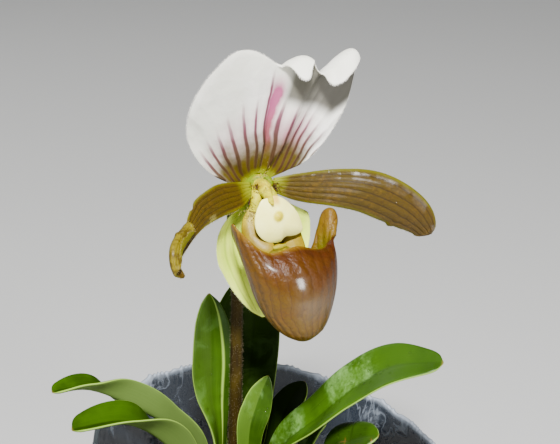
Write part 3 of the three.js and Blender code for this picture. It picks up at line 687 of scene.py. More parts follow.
def petal_finish(flower_look):
    finish = Finish("petal", coat_roughness=0.2, coat_ior=1.6, specular_ior_level=0.15)
    across, along, side = finish.lay()
    wander = finish.noise(110, 3) - 0.5
    line = (across * 2.9 + 0.1 + wander * 0.3).beside()
    net = finish.net(across * 6 + wander, along * 22, 0.08)
    clouds = finish.noise(150, 4)
    grain = finish.noise(700, 3)
    front = finish.layers(
        flower_look.petal,
        (clouds.rise(0.35, 0.7), tone(54, 40, 3)),
        ((along + clouds * 0.3).rise(0.55, 1.0) * 0.5, tone(74, 52, 3)),
        ((grain + clouds).rise(0.95, 1.3) * 0.5, tone(94, 70, 4)),
        (net * 0.3, tone(46, 28, 7)),
        (line.ridge(0.14) * 0.85, flower_look.petal_vein),
        ((abs(across) + (clouds - 0.5) * 0.2).rise(0.78, 0.98) * 0.8, flower_look.petal_edge),
        ((along + clouds * 0.06).rise(0.12, 0.03) * 0.8, flower_look.green),
    )
    back = finish.mix((grain + clouds).rise(0.9, 1.2), tone(104, 92, 8), tone(74, 60, 4))
    finish.set(
        base_color=finish.faced(side, front, back),
        roughness=0.42 + clouds * 0.14,
        coat_weight=along.rise(0.1, 0.35) * (0.06 + across.rise(-0.4, -0.75) * clouds.rise(0.42, 0.52)),
    )
    return finish.bump(grain * 0.6 - line.ridge(0.3) * 0.5 - net * 0.25, 0.22, 0.9)


def pouch_finish(flower_look):
    finish = Finish("pouch", coat_roughness=0.15, coat_ior=1.7, specular_ior_level=0.15)
    around, rise, side = finish.lay()
    wander = finish.noise(80, 4, 0.6, 0.3) - 0.5
    line = (around / 15 + wander * 2.0).beside()
    body = rise.rise(0.02, 0.22)
    vein = line.ridge(0.1) * body * finish.noise(60, 2).rise(0.3, 0.55)
    net = finish.net(around / 7 + wander * 2.2, rise * 14, 0.06)
    clouds = finish.noise(120, 4)
    outside = finish.layers(
        flower_look.pouch_ochre,
        ((rise + clouds * 0.5 + around / 400).rise(0.5, 1.35), flower_look.pouch_red),
        (around.rise(-40, -95) * 0.5, tone(92, 62, 6)),
        (clouds.rise(0.5, 0.75) * 0.35, tone(88, 52, 10)),
        (net * 0.3 * body, tone(56, 30, 9)),
        (vein * 0.55, flower_look.pouch_vein),
        (rise.rise(0.96, 1.0) * 0.8, tone(112, 82, 6)),
        (rise.rise(0.16, 0.0) * 0.6, tone(76, 56, 0)),
    )
    within = finish.layers(
        tone(100, 74, 14),
        (net * 0.4 + vein * 0.5, tone(68, 38, 20)),
        (rise.rise(0.98, 0.72), tone(84, 80, 8)),
    )
    finish.set(
        base_color=finish.faced(side, outside, within),
        roughness=0.34 + clouds * 0.12,
        coat_weight=side.rise(-0.1, 0.3) * (0.15 + around.bump_at(5, 45) * rise.bump_at(0.6, 0.42) * 0.85),
    )
    lumps = finish.noise(190, 2) * 1.3 + finish.noise(600, 3, 0.6) * 0.7
    return finish.bump(lumps - line.ridge(0.4) * 0.4, 0.65, 0.9)


def lobe_finish():
    finish = Finish("side_lobe", specular_ior_level=0.25)
    _, along, _ = finish.lay()
    clouds = finish.noise(160, 4)
    spots = finish.cells(900).rise(0.22, 0.12) * finish.noise(240, 2).rise(0.5, 0.62)
    tint = finish.layers(
        tone(118, 98, 0),
        (clouds.rise(0.35, 0.65), tone(138, 116, 4)),
        (along.rise(0.4, 0.0) * 0.7, tone(214, 196, 40)),
        (spots * 0.5, tone(130, 72, 26)),
    )
    finish.set(base_color=tint, roughness=0.36 + clouds * 0.12)
    return finish.bump(finish.noise(900), 0.15, 0.7)


def shield_finish(flower_look):
    finish = Finish("shield", coat_weight=0.12, coat_roughness=0.3)
    x, y, _ = finish.lay()
    clouds = finish.noise(140, 4)
    beside, above = x - BOSS_PLACE[0], y - BOSS_PLACE[1]
    away = (beside * beside + above * above) ** 0.5
    tint = finish.layers(
        flower_look.shield,
        (clouds.rise(0.35, 0.7), tone(250, 244, 130)),
        (away.rise(2.5, 1.4), tone(204, 188, 0)),
        (away.rise(1.2, 0.2) * 0.8, tone(180, 158, 0)),
        (y.rise(4.8, 7.4) * abs(x + 1.3).rise(2.4, 0.6) * 0.8, tone(206, 160, 30)),
        (y.rise(-5.8, -7.4) * abs(x + 2.2).rise(2.8, 1.4) * 0.7, tone(178, 186, 60)),
    )
    finish.set(base_color=tint, roughness=0.4 + clouds * 0.15)
    return finish.bump(finish.noise(1100), 0.1, 0.7)


def column_finish(name, light, dark):
    finish = Finish(name, specular_ior_level=0.12)
    spots = finish.cells(640).rise(0.3, 0.15) * finish.noise(200, 2).rise(0.48, 0.56)
    tint = finish.layers(
        light,
        (finish.noise(170, 4).rise(0.35, 0.65), dark),
        (finish.noise(260).rise(0.48, 0.62) * 0.7, tone(150, 128, 6)),
        (spots * 0.7, tone(92, 50, 16)),
    )
    finish.set(base_color=tint, roughness=0.45)
    return finish.bump(finish.noise(700), 0.2, 0.7)


def leaf_finish(name, leaf_look, water_and_sheen=0.0, old=0.0, crease=0.0, painted_shade=0.0, dew_sheen_and_shade=False, pale=0.0, dull=0.0):
    """Both faces of a leaf.

    water_and_sheen is how strong its film of water is, whose whitish tint is a painted sheen, and
    dew_sheen_and_shade breaks the film into patches and adds painted shade towards the tip. old is how
    cracked it is, crease the place of a fold with painted light and shade beside it, pale how much
    painted light lightens one half, painted_shade how much painted shade darkens the whole, and dull how
    matt it is.
    """
    gloss = (1 - painted_shade) * (1 - dull)
    finish = Finish(name, coat_roughness=0.25, coat_ior=1.4, specular_ior_level=0.2 * gloss)
    across, along, side = finish.lay()
    strands = finish.noise(1.0, where=finish.joined(across * 38, along * 3.0))
    clouds = finish.noise(34, 4)
    mottle = finish.noise(130)
    film = finish.noise(85, 5, 0.65, 0.6) + clouds * 0.6
    groove = abs(across).rise(0.09, 0.0) * (0.3 if crease else 1.0)
    coats = [
        ((clouds * 0.7 + mottle * 0.3).rise(0.36, 0.62), leaf_look.upper),
        (strands.rise(0.45, 0.75) * 0.3, tone(80, 118, 8)),
        (along.rise(0.25, 0.0) * 0.5, tone(88, 118, 20)),
        # The groove down the middle darkened: painted shade in the fold's channel.
        (groove * 0.45, tone(34, 58, 4)),
    ]
    # pale lightens one half of the blade: painted light on the half that faces the light.
    if pale:
        coats.append((across.rise(0.08, -0.06) * pale, tone(112, 152, 48)))
    # A darkening of the whole leaf towards near black: painted shade for leaves that lie in shadow.
    if painted_shade:
        coats.append((painted_shade, tone(12, 20, 2)))
    if dew_sheen_and_shade:
        # Patches where the film lies; their whitish tint below is a painted sheen.
        far = along.rise(0.43, 0.5) * along.rise(0.78, 0.68)
        near = along.rise(0.12, 0.2) * along.rise(0.38, 0.3)
        zone = across.rise(0.25, -0.05) * (far + near)
        film = (film * 0.8 + finish.noise(520, 3, 0.7) * 0.5 + zone * 0.3).rise(1.05, 1.5) * zone
        # Darker green towards the tip: painted shade.
        coats.append((along.rise(0.55, 0.85) * 0.65, tone(32, 58, 2)))
    else:
        film = film.rise(0.84, 1.0)
    # The film's whitish tint is a painted sheen, a reflection painted into the colour; its roughness and
    # bumps are the water.
    coats.append((film * water_and_sheen, tone(122, 168, 88)))
    if old:
        crack = finish.cells(130, "DISTANCE_TO_EDGE").rise(0.06, 0.0) * finish.noise(60).rise(0.5, 0.58)
        coats.append((crack * along.rise(0.45, 0.6) * old, tone(112, 76, 26)))
    if crease:
        # Beside the crease: lighter between the middle and the fold as painted light, darker past the fold as
        # painted shade, and a pale line along the fold as a painted highlight.
        fold = across.bump_at(crease + 0.02, 0.1) * along.rise(0.12, 0.3)
        coats += [
            (across.bump_at(crease * 0.5, crease * 0.8) * 0.25, tone(76, 116, 6)),
            (across.rise(crease, crease + 0.15) * 0.6, tone(30, 54, 2)),
            (fold * 0.9, tone(140, 170, 70)),
        ]
    under = finish.layers(
        leaf_look.under,
        (strands.rise(0.35, 0.7) * 0.4, tone(70, 90, 38)),
        (groove * 0.3, tone(74, 102, 34)),
    )
    tint = finish.layers(
        finish.faced(side, finish.layers(leaf_look.deep, *coats), under),
        (abs(across).rise(0.975, 1.0) * 0.8, leaf_look.margin),
        (along.rise(0.99, 1.0) * 0.6, tone(126, 108, 50)),
    )
    lit = side.rise(-0.1, 0.1)
    finish.set(
        base_color=tint,
        roughness=0.6 - lit * (0.22 - clouds * 0.12) * (1 - dull) + film * (0.12 * water_and_sheen),
        coat_weight=lit * (0.16 * gloss - film * (0.1 * water_and_sheen)),
    )
    drops = finish.cells(1000).rise(0.45, 0.1) * film * water_and_sheen
    skin = strands * 0.5 + mottle * 0.7 + finish.cells(2600, "DISTANCE_TO_EDGE") * 0.25
    return finish.bump(skin + film * (0.5 * water_and_sheen) + drops * 0.8, 0.16, 0.8)


def sheath_finish(leaf_look):
    finish = Finish("sheath")
    streaks = finish.noise(420, where=finish.stretched(1, 1, 0.12))
    tint = finish.layers(
        leaf_look.sheath,
        (streaks.rise(0.35, 0.7), tone(112, 128, 44)),
        ((finish.noise(60, 4) + streaks * 0.3).rise(0.66, 0.86), tone(112, 84, 42)),
    )
    finish.set(base_color=tint, roughness=0.5 + streaks * 0.2)
    return finish.bump(streaks, 0.3, 0.9)


def stem_finish(leaf_look):
    finish = Finish("stem", specular_ior_level=0.12)
    streaks = finish.noise(500, where=finish.stretched(1, 1, 0.1))
    tint = finish.layers(
        leaf_look.stem,
        (streaks.rise(0.35, 0.7), tone(34, 24, 6)),
        (finish.noise(90, 4).rise(0.45, 0.7) * 0.6, tone(66, 54, 8)),
    )
    finish.set(base_color=tint, roughness=0.55 + streaks * 0.2)
    return finish.bump(streaks + finish.noise(1500, 2) * 0.4, 0.25, 0.9)


def bract_finish():
    finish = Finish("bract", sheen_weight=0.1, roughness=0.5)
    across, along, _ = finish.lay()
    strands = finish.noise(1.0, where=finish.joined(across * 26, along * 2.5))
    tint = finish.layers(
        tone(104, 116, 24),
        (strands.rise(0.4, 0.7), tone(76, 86, 16)),
        (along.rise(0.5, 0.0) * 0.5, tone(66, 44, 18)),
    )
    finish.set(base_color=tint)
    return finish.bump(strands + finish.noise(900, 2) * 0.4, 0.2, 0.8)


def bark_finish(pot_look):
    finish = Finish("bark")
    layers = finish.noise(130, 5, 0.65, 0.4, finish.stretched(1, 1, 4))
    patches = finish.noise(70, 4)
    pits = finish.cells(420).rise(0.25, 0.05) * 0.6
    tint = finish.layers(
        tone(40, 28, 20),
        (layers.rise(0.35, 0.7), pot_look.bark),
        (patches.rise(0.52, 0.7) * 0.7, tone(104, 72, 38)),
        (finish.noise(300, 4).rise(0.6, 0.72) * 0.5, tone(112, 98, 80)),
        (pits, tone(26, 18, 12)),
    )
    finish.set(base_color=tint, roughness=0.8 + patches * 0.15)
    return finish.bump(layers + finish.noise(900) * 0.4 - pits, 0.9, 1.0)


def moss_finish(pot_look):
    finish = Finish("moss", roughness=0.9)
    mottle = finish.noise(400, 4).rise(0.35, 0.65)
    finish.set(base_color=finish.mix(mottle, pot_look.moss, tone(92, 106, 28)))
    return finish.bump(finish.noise(1400), 0.5, 1.0)


def root_finish():
    finish = Finish("root", sheen_weight=0.2, roughness=0.85)
    mottle = finish.noise(260, 4).rise(0.35, 0.7)
    finish.set(base_color=finish.mix(mottle, tone(104, 84, 54), tone(146, 130, 98)))
    return finish.bump(finish.noise(1300), 0.3, 1.0)


def plastic_finish(pot_look):
    finish = Finish("clear_plastic", ior=1.46, coat_roughness=0.1, specular_ior_level=0.4)
    around, height, _ = finish.lay()
    low = finish.node("ShaderNodeSeparateXYZ", None, {0: finish.place()}, 2).rise(0.084, 0.068)
    streaks = finish.noise(1.0, 5, 0.7, 0.5, finish.joined(around * 60, height / 60))
    swirls = finish.noise(42, 6, 0.72, 1.2)
    veil = finish.noise(18, 4)
    crust = (swirls + streaks * 0.55).rise(0.8, 1.02)
    lines = abs(finish.noise(60, 3, 0.5, 1.5) - 0.5).rise(0.03, 0.0) * veil.rise(0.46, 0.6)
    rim = (height + swirls * 2).rise(-2.6, 0.4)
    teeth = height.rise(-1.4, -0.4)
    white = (crust * 0.6 + lines * 0.45 + rim * 0.75 + teeth * 0.5).least(1)
    specks = finish.cells(900).rise(0.2, 0.08) * 0.4
    film = (white + specks * veil).least(1)
    finish.set(
        base_color=finish.mix(film, pot_look.plastic, pot_look.scale),
        roughness=0.16 + film * 0.4,
        alpha=(pot_look.clearness - low * 0.3 + film * 0.3).least(1.0),
        coat_weight=0.5 - film * 0.4,
    )
    return finish.bump(swirls * 0.5 + film * 0.7, 0.25, 0.8)


def floor_finish(stage_look):
    finish = Finish("floor", roughness=0.75)
    finish.set(base_color=finish.mix(finish.noise(6, 4) * 0.12, stage_look.floor, tone(214, 213, 210)))
    return finish.bump(finish.noise(600, 2), 0.05, 0.3)


# ---------- pot ----------

POT_HEIGHT = 110
POT_FOOT_RADIUS = 48
POT_RIM_RADIUS = 70
POT_WALL = 1.2
POT_FLOOR = 1.8
POT_RIBS = 30
POT_FLUTE = 0.45
RIM_FALL = 0.19
RIM_TURN = 0.018
RIM_TEETH = 0.5
DRAIN_COUNT = 6
DRAIN_RADIUS = 4.5
DRAIN_CIRCLE = 31
POT_STEPS = 1080
RIB_START = 8
BAND_TOP = 92
BAND_BELOW_RIM = 7


def pot_radius(z):
    return POT_FOOT_RADIUS + (POT_RIM_RADIUS - POT_FOOT_RADIUS) * z / POT_HEIGHT


def rim_height(angle):
    """The rim is an oblique cut with uneven teeth."""
    x, y, _ = polar(POT_RIM_RADIUS, angle, 0)
    teeth = math.sin(17 * angle + 1) * math.sin(5 * angle) + 0.6 * math.sin(29 * angle)
    return POT_HEIGHT - RIM_FALL * x + RIM_TURN * y + RIM_TEETH * teeth


def torn(angle):
    """Narrow nubs along the cut edge, never above it."""
    nub = abs(math.sin(66 * angle + 2.2 * math.sin(11 * angle) + 1.6 * math.sin(29 * angle))) ** 3
    return -(1 - nub * (0.75 + 0.25 * math.sin(83 * angle))) * (0.8 + 0.35 * math.sin(5 * angle + 2))


def make_pot():
    """The wall and the floor in one skin, each ring a step along the profile."""
    def band(angle):
        return min(rim_height(angle) - BAND_BELOW_RIM, BAND_TOP)

    def fluted(angle, z):
        ribs = POT_FLUTE * (0.5 - 0.5 * math.cos(POT_RIBS * angle))
        return ribs * min(max((z - RIB_START) / 2, 0), 1) * min(max((band(angle) - z) / 2, 0), 1)

    def lip(angle, down):
        return rim_height(angle) + torn(angle) - down

    def inner(angle, k):
        foot = POT_FLOOR + 1
        return foot + (lip(angle, 4) - foot) * k / 8

    # Each ring: how far in from the outer wall, and its height at an angle.
    outside = [(12, lambda a: 0.0), (3, lambda a: 0.0), (1.5, lambda a: 0.0)]
    outside += [(0.45, lambda a: 0.4), (0, lambda a: 1.5)]
    outside += [(0, lambda a, k=k: 4.0 * k) for k in (1, 1.9, 2.1, 2.3)]
    outside += [(0, lambda a, k=k: 10 + (band(a) - 14) * k / 10) for k in range(1, 11)]
    outside += [(0, lambda a, k=k: band(a) - 2 + k) for k in (0, 1, 2)]
    outside += [(0, lambda a, k=k: lip(a, k)) for k in (5, 3, 1.2)]
    inside_rings = [(-0.25, lambda a: lip(a, 0.7)), (-0.2, lambda a: lip(a, 0.2)), (0.4, lambda a: lip(a, 0))]
    inside_rings += [(1.0, lambda a: lip(a, 0.1)), (POT_WALL, lambda a: lip(a, 0.7))]
    inside_rings += [(POT_WALL, lambda a, k=k: inner(a, k)) for k in range(8, -1, -1)]
    inside_rings += [(POT_WALL + 0.6, lambda a: POT_FLOOR), (12, lambda a: POT_FLOOR)]

    def place(ring, angle, share):
        inset, level, face = ring
        z = level(angle)
        reach = pot_radius(z) - inset + (fluted(angle, z) if inset == 0 else 0)
        reach += 0.12 * noise.noise(polar(6, angle, z / 9))
        return polar(reach, angle, z), (share, z - rim_height(angle), face)

    rings = [(*ring, 1.0) for ring in outside] + [(*ring, -1.0) for ring in inside_rings]
    return turned(rings, POT_STEPS, place, Vector((0, 0, 0)), Vector((0, 0, POT_FLOOR)))


def cut_drains(piece):
    """Cuts the drain holes through the floor."""
    cutter_mesh = bpy.data.meshes.new("drains")
    shape = bmesh.new()
    for i in range(DRAIN_COUNT):
        centre = polar(DRAIN_CIRCLE, 2 * math.pi * i / DRAIN_COUNT, 0) * MM
        bmesh.ops.create_cone(
            shape, cap_ends=True, segments=32, radius1=DRAIN_RADIUS * MM, radius2=DRAIN_RADIUS * MM,
            depth=8 * MM, matrix=Matrix.Translation(centre),
        )
    shape.to_mesh(cutter_mesh)
    shape.free()
    cutter = bpy.data.objects.new("drains", cutter_mesh)
    bpy.context.scene.collection.objects.link(cutter)
    boolean = piece.modifiers.new("drains", "BOOLEAN")
    boolean.object = cutter
    boolean.operation = "DIFFERENCE"
    boolean.solver = "EXACT"
    bpy.context.view_layer.update()
    cut = bpy.data.meshes.new_from_object(piece.evaluated_get(bpy.context.evaluated_depsgraph_get()))
    piece.modifiers.clear()
    piece.data = cut
    bpy.data.objects.remove(cutter)


class ORCHID_OT_pot(bpy.types.Operator):
    """Makes the clear fluted pot with its torn rim and drain holes"""

    bl_idname = "orchid.pot"
    bl_label = "Pot"

    def execute(self, context):
        plastic = plastic_finish(look().pot)
        cut_drains(make_piece("pot_wall", make_pot(), plastic, ["pot"], turn=1.0))
        return {"FINISHED"}


# ---------- bark, moss and roots ----------

MEDIUM_HEIGHT = 75
MEDIUM_GAP = 0.7
GROWTH_CENTRE = Vector((-18.5, 12))
YOUNG_CENTRE = Vector((9, -1))
GOLDEN_TURN = 2.39996
GOLDEN_SHARE = 0.618034
WALL_CHIPS = 300
MOSS_TUFTS = 34
TUFT_LEAVES = 46
ROOTS = 7


def chip_points(size, draw):
    """Corners of a bark chip: a rough slab with its corners knocked about."""
    points = []
    for _ in range(18):
        corner = [draw.uniform(-1, 1) for _ in range(3)]
        corner = [math.copysign(abs(c) ** 0.45, c) for c in corner]
        points.append(Vector([c * s for c, s in zip(corner, size)]) / 2)
    return points


def add_chip(form, centre, size, spin, draw):
    shape = bmesh.new()
    turn = spin.to_matrix()
    for point in chip_points(size, draw):
        shape.verts.new(turn @ point + centre)
    hull = bmesh.ops.convex_hull(shape, input=shape.verts[:])
    loose = {v for v in hull["geom_interior"] + hull["geom_unused"] if isinstance(v, bmesh.types.BMVert)}
    bmesh.ops.delete(shape, geom=list(loose), context="VERTS")
    shape.verts.index_update()
    points = [v.co.copy() for v in shape.verts]
    faces = [tuple(v.index for v in f.verts) for f in shape.faces]
    mark = (draw.random(), draw.random(), 1.0)
    form.add(points, faces, [mark] * len(points))
    shape.free()


def near_growth(place):
    return any((place.xy - centre).length < room for centre, room in ((GROWTH_CENTRE, 11), (YOUNG_CENTRE, 8)))


def wall_reach(z):
    """How far out the bed goes at a height."""
    return pot_radius(z) - POT_WALL - MEDIUM_GAP


def make_bed():
    """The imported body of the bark, lumpy all over."""
    def place(ring, angle, share):
        inset, z = ring
        lump = 1.3 * noise.noise(polar(9, angle, z / 6))
        return polar(wall_reach(z) - 2.0 - inset + lump, angle, z), (share, z, 1.0)

    rings = [(10, 2.8), (2.5, 2.8)] + [(0, 5 + 68 * k / 22) for k in range(23)] + [(3, 73.5), (14, 73)]
    return turned(rings, 120, place, Vector((0, 0, 2.8)), Vector((0, 0, 72.5)))


def make_wall_chips(draw):
    """Chips pressed flat against the clear wall."""
    form = Form()
    for k in range(WALL_CHIPS):
        z = 12.5 + 60 * ((k * GOLDEN_SHARE) % 1)
        angle = k * GOLDEN_TURN
        size = (draw.uniform(9, 17), draw.uniform(6, 11), draw.uniform(3, 5))
        centre = polar(wall_reach(z) - size[2] / 2 - draw.uniform(0.2, 2.2), angle, z)
        face = Matrix.Rotation(angle, 3, "Z") @ Matrix.Rotation(math.radians(90), 3, "Y")
        twist = Matrix.Rotation(draw.uniform(0, math.pi), 3, "Z")
        add_chip(form, centre, size, (face @ twist).to_euler(), draw)
    return form


def make_top_chips(draw, count):
    """Loose chips on top, lying at all angles."""
    form = Form()
    for k in range(count):
        size = (draw.uniform(8, 17), draw.uniform(6, 11), draw.uniform(3.5, 7))
        reach = (wall_reach(MEDIUM_HEIGHT) - size[0] * 0.62) * math.sqrt((k + 0.5) / count)
        centre = polar(reach, k * GOLDEN_TURN, MEDIUM_HEIGHT)
        if near_growth(centre):
            continue
        spin = Euler((draw.uniform(-0.5, 0.5), draw.uniform(-0.5, 0.5), draw.uniform(0, 6.28)))
        centre.z += draw.uniform(-2.5, 2.2)
        add_chip(form, centre, size, spin, draw)
    return form


def make_moss(draw):
    """Tufts of short moss leaves in the hollows between chips."""
    form = Form()
    for _ in range(MOSS_TUFTS):
        angle, reach = draw.uniform(0, 2 * math.pi), 52 * math.sqrt(draw.random())
        tuft = polar(reach, angle, MEDIUM_HEIGHT)
        if near_growth(tuft):
            continue
        for _ in range(TUFT_LEAVES):
            root = tuft + Vector((draw.gauss(0, 2.6), draw.gauss(0, 2.6), draw.uniform(-0.6, 2.2)))
            lean = Vector((draw.uniform(-1, 1), draw.uniform(-1, 1), draw.uniform(0.6, 1.6)))
            needle(form, root, root + lean * 1.4, 0.22)
    return form


def make_roots(draw):
    """Thick roots that wander down between the chips and against the wall."""
    form = Form()
    for k in range(ROOTS):
        angle = k * 0.93 + 0.4
        path = []
        for z in (62, 52, 40, 28, 17, 8):
            angle += draw.uniform(-0.25, 0.4)
            path.append(polar(wall_reach(z) - 3.1, angle, z))
        # A shoulder on the way out keeps the root from swinging through the wall.
        shoulder = (path[0].x * 0.86, path[0].y * 0.86, 65.5)
        path = [(*(GROWTH_CENTRE * 0.6), 66), shoulder, *path]
        form.joined(tube(path, 12, 60, lambda t, a: 2.1 - 0.7 * t + 0.12 * math.sin(40 * t)))
    return form


class ORCHID_OT_bark(bpy.types.Operator):
    """Makes the bark, with its loose chips, moss and roots"""

    bl_idname = "orchid.bark"
    bl_label = "Bark, moss and roots"

    def execute(self, context):
        settings = look().pot
        draw = random.Random(settings.seed)
        bark = bark_finish(settings)
        make_piece("bark_bed", make_bed(), bark, ["growing_medium"], turn=1.0)
        make_piece("bark_wall_chips", make_wall_chips(draw), bark, flat=True)
        make_piece("bark_top_chips", make_top_chips(draw, settings.chips), bark, flat=True)
        make_piece("moss", make_moss(draw), moss_finish(settings))
        make_piece("roots", make_roots(draw), root_finish())
        return {"FINISHED"}


# ---------- growths ----------

GROWTH_ROOT = 60


def make_growth(centre, levels, scales):
    """A fan of overlapping sheaths round an oval core. levels: (height, half width, half depth)."""
    def place(t, angle, share):
        z, wide, deep = spline(levels, t)
        rib = 1 + 0.02 * math.cos(12 * angle)
        point = (centre.x + wide * rib * math.cos(angle), centre.y + deep * rib * math.sin(angle), z)
        return Vector(point), (share, t, 1.0)

    low, high = (Vector((*centre, level[0])) for level in (levels[0], levels[-1]))
    form = turned([k / 40 for k in range(41)], 48, place, low, high)
    return form.joined(*[make_scale(centre, levels, *scale) for scale in scales])


def make_scale(centre, levels, angle, foot, top, spread):
    """A papery sheath wrapped round part of a growth."""
    def point(u, t):
        z = foot + (top - foot) * t
        way = angle + spread * (1 - t ** 3 * 0.9) * u
        stand = 0.5 + 0.6 * t
        return Vector((
            centre.x + (ease(levels, z) + stand) * math.cos(way),
            centre.y + (ease(levels, z, 2) + stand) * math.sin(way),
            z - 1.5 * u * u * t,
        ))
    return sheet(point, both_ways(18), eased_steps(18), margin_thickness(0.5))


class ORCHID_OT_growths(bpy.types.Operator):
    """Makes the two growths that the leaves stand in"""

    bl_idname = "orchid.growths"
    bl_label = "Growths"

    def execute(self, context):
        sheath = sheath_finish(look().leaf)
        levels = [(GROWTH_ROOT, 5.6, 5), (68, 6.8, 6), (77, 6.4, 5.6), (85, 5.6, 5), (91, 4.2, 3.8)]
        scales = [(-1.4, 70, 84, 1.1), (0.5, 70, 87, 1.0), (2.4, 70, 82, 1.2), (4.0, 70, 80, 0.9)]
        form = make_growth(GROWTH_CENTRE, levels, scales)
        make_piece("growth_sheaths", form, sheath, ["growth_main"])
        levels = [(GROWTH_ROOT, 4, 3.6), (68, 4.8, 4.4), (77, 4.6, 4.2), (84, 3.4, 3.1), (88, 1.4, 1.3)]
        scales = [(-0.9, 70, 82, 1.1), (1.6, 70, 80, 1.2)]
        form = make_growth(YOUNG_CENTRE, levels, scales)
        make_piece("young_growth_sheaths", form, sheath, ["growth_young"])
        return {"FINISHED"}


# ---------- flower stem ----------

STEM_RADIUS = 2.3
OVARY_RADIUS = 3.0
STEM_HAIRS = 3600

STEM_PATH = [
    (-19, 12, 82), (-19.8, 12, 106), (-18.8, 11.6, 140), (-17.9, 11.2, 176), (-17.4, 10.6, 200),
    (-16.6, 6.6, 214),
    *flower_path([(0, -4, -8.5), (0, -0.6, -2.6)]),
]

STEM_SWELL = [
    (0, STEM_RADIUS + 0.2), (0.3, STEM_RADIUS), (0.57, STEM_RADIUS - 0.2), (0.68, STEM_RADIUS),
    (0.82, OVARY_RADIUS), (0.94, OVARY_RADIUS - 0.3), (1, OVARY_RADIUS - 0.6),
]


def stem_radius(t, angle):
    """The stem's surface, ribbed along the ovary."""
    ribs = 0.12 * min(max((t - 0.62) / 0.1, 0), 1)
    rough = 0.05 * noise.noise(Vector((angle * 2, t * 90, 0)))
    return ease(STEM_SWELL, t) * (1 + ribs * math.cos(6 * angle)) + rough


BRACT = {
    "spine": [
        (-17.6, 11.9, 192), (-17.6, 14.4, 200), (-17.4, 14.8, 209), (-17.2, 14.2, 217),
        (-17.2, 12.6, 224),
    ],
    "look": [(0, -1, 0), (0, -1, 0), (0, -1, 0.1), (0, -1, 0.2), (0, -1, 0.3)],
    "half": [(0, 2.6), (0.3, 5.2), (0.6, 5.6), (0.85, 3.4), (1, 0.3)],
    "fold": [(0, 0), (1, 20)],
    "curl": [(0, 16), (0.5, 13), (1, 6)],
}


def make_stem_hairs(draw):
    form = Form()
    for _ in range(STEM_HAIRS):
        t = 0.03 + 0.95 * draw.random()
        centre, way, left, up = path_frame(STEM_PATH, t)
        angle = draw.uniform(0, 2 * math.pi)
        out = left * math.cos(angle) + up * math.sin(angle)
        root = centre + out * (stem_radius(t, angle) - 0.05)
        lean = way * draw.uniform(-0.2, 0.5) + left.cross(out) * draw.uniform(-0.3, 0.3)
        needle(form, root, root + (out + lean) * draw.uniform(0.45, 0.95), 0.05, 0.04)
    return form


class ORCHID_OT_stem(bpy.types.Operator):
    """Makes the hairy flower stem with its ovary and bract"""

    bl_idname = "orchid.stem"
    bl_label = "Flower stem"

    def execute(self, context):
        settings = look().leaf
        draw = random.Random(look().pot.seed + 1)
        form = tube(STEM_PATH, 36, 240, stem_radius)
        make_piece("stem", form, stem_finish(settings), ["flower_stem"], turn=1.0)
        bract = sheet(blade(BRACT), both_ways(24), eased_steps(30), margin_thickness(0.8))
        make_piece("bract", bract, bract_finish())
        pale = hair_finish("stem_hair", tone(84, 66, 36), tone(150, 138, 112))
        make_piece("stem_hairs", make_stem_hairs(draw), pale)
        return {"FINISHED"}


# ---------- dorsal sepal ----------

# Along each ray from the hub: [degrees from upright, distance to the upper edge].
SEPAL_REACH = [
    (-70, 13), (-66.5, 16.5), (-62.5, 22.5), (-56.5, 29), (-50, 35), (-44.5, 39.5), (-38, 44.5),
    (-29, 49), (-21.5, 52.5), (-16, 55), (-12, 55.5), (-9, 54.5), (-5, 52), (-2.5, 50), (1.5, 47.5),
    (5, 49.5), (9.5, 51), (12.5, 50.5), (16, 46.5), (21.5, 49), (24.5, 53), (28, 56.5), (30.5, 56),
    (33.5, 53), (36.5, 48.5), (40.5, 42.5), (45.5, 35), (51.5, 26.5), (57, 19), (61, 13),
]

# How much margin is rolled: forward where positive, slightly back where negative.
SEPAL_ROLL = [
    (-70, -1), (-50, -2.4), (-12, -2.4), (-3, -0.8), (1.5, 1.6), (4, 6), (6, 10.5), (8, 12), (10, 11),
    (12, 6), (13.5, 2.6), (16, 1.2), (17.5, 4), (20, 8.5), (22.5, 11.5), (25, 13), (28, 11.5),
    (30, 8), (32, 3), (34, 1), (61, 0.8),
]

SEPAL_LEAN = [
    (-70, -1), (-60, -3), (-50, -3.5), (-44, -1.5), (-38, 1.5), (-29, 3.5), (-16, 7), (-5, 10),
    (2, 11.5), (10, 12), (16, 15), (21, 14), (28, 12.5), (37, 14), (45, 16), (61, 17),
]

SEPAL_START = 4.5
SEPAL_BODY = 0.6
SEPAL_BEND = 2.6
SEPAL_OVER = math.radians(130)
SEPAL_COLUMNS = 230
SEPAL_BODY_ROWS = 40
SEPAL_ROLL_ROWS = 34
SEPAL_HAIRS = 1500

# Where each vein lies in the outer part of the sepal, in degrees, and how the veins crowd
# together towards the foot: [mm from the hub, spread] to the right and left of the middle.
SEPAL_VEINS = (-54, -47, -40, -33.5, -25.5, -16, -7.5, 0, 9.5, 16.3, 24.5, 30.5, 37, 43.5, 50)

# The numbers of the vein at the left margin and of the middle one.
FIRST_VEIN = -1
MIDDLE_VEIN = 6

SPREAD_RIGHT = [(4, 2.6), (9, 2.0), (14, 1.45), (20, 1.14), (27, 1.06), (35, 1.0)]
SPREAD_LEFT = [(4, 2.3), (9, 1.85), (14, 1.5), (20, 1.3), (27, 1.14), (35, 1.0)]


@cache
def sepal_run(u, v):
    """Degrees from upright, lean, roll, way along the ray and way round the rolled margin."""
    degrees = -4.5 + 65.5 * u
    lean = math.radians(ease(SEPAL_LEAN, degrees))
    roll = ease(SEPAL_ROLL, degrees)
    margin = max(abs(roll), 0.8)
    body = ease(SEPAL_REACH, degrees) / math.cos(lean) - min(margin, SEPAL_BEND)
    run = SEPAL_START + (body - SEPAL_START) * min(v / SEPAL_BODY, 1)
    past = margin * max(v - SEPAL_BODY, 0) / (1 - SEPAL_BODY)
    return degrees, lean, roll, run, past


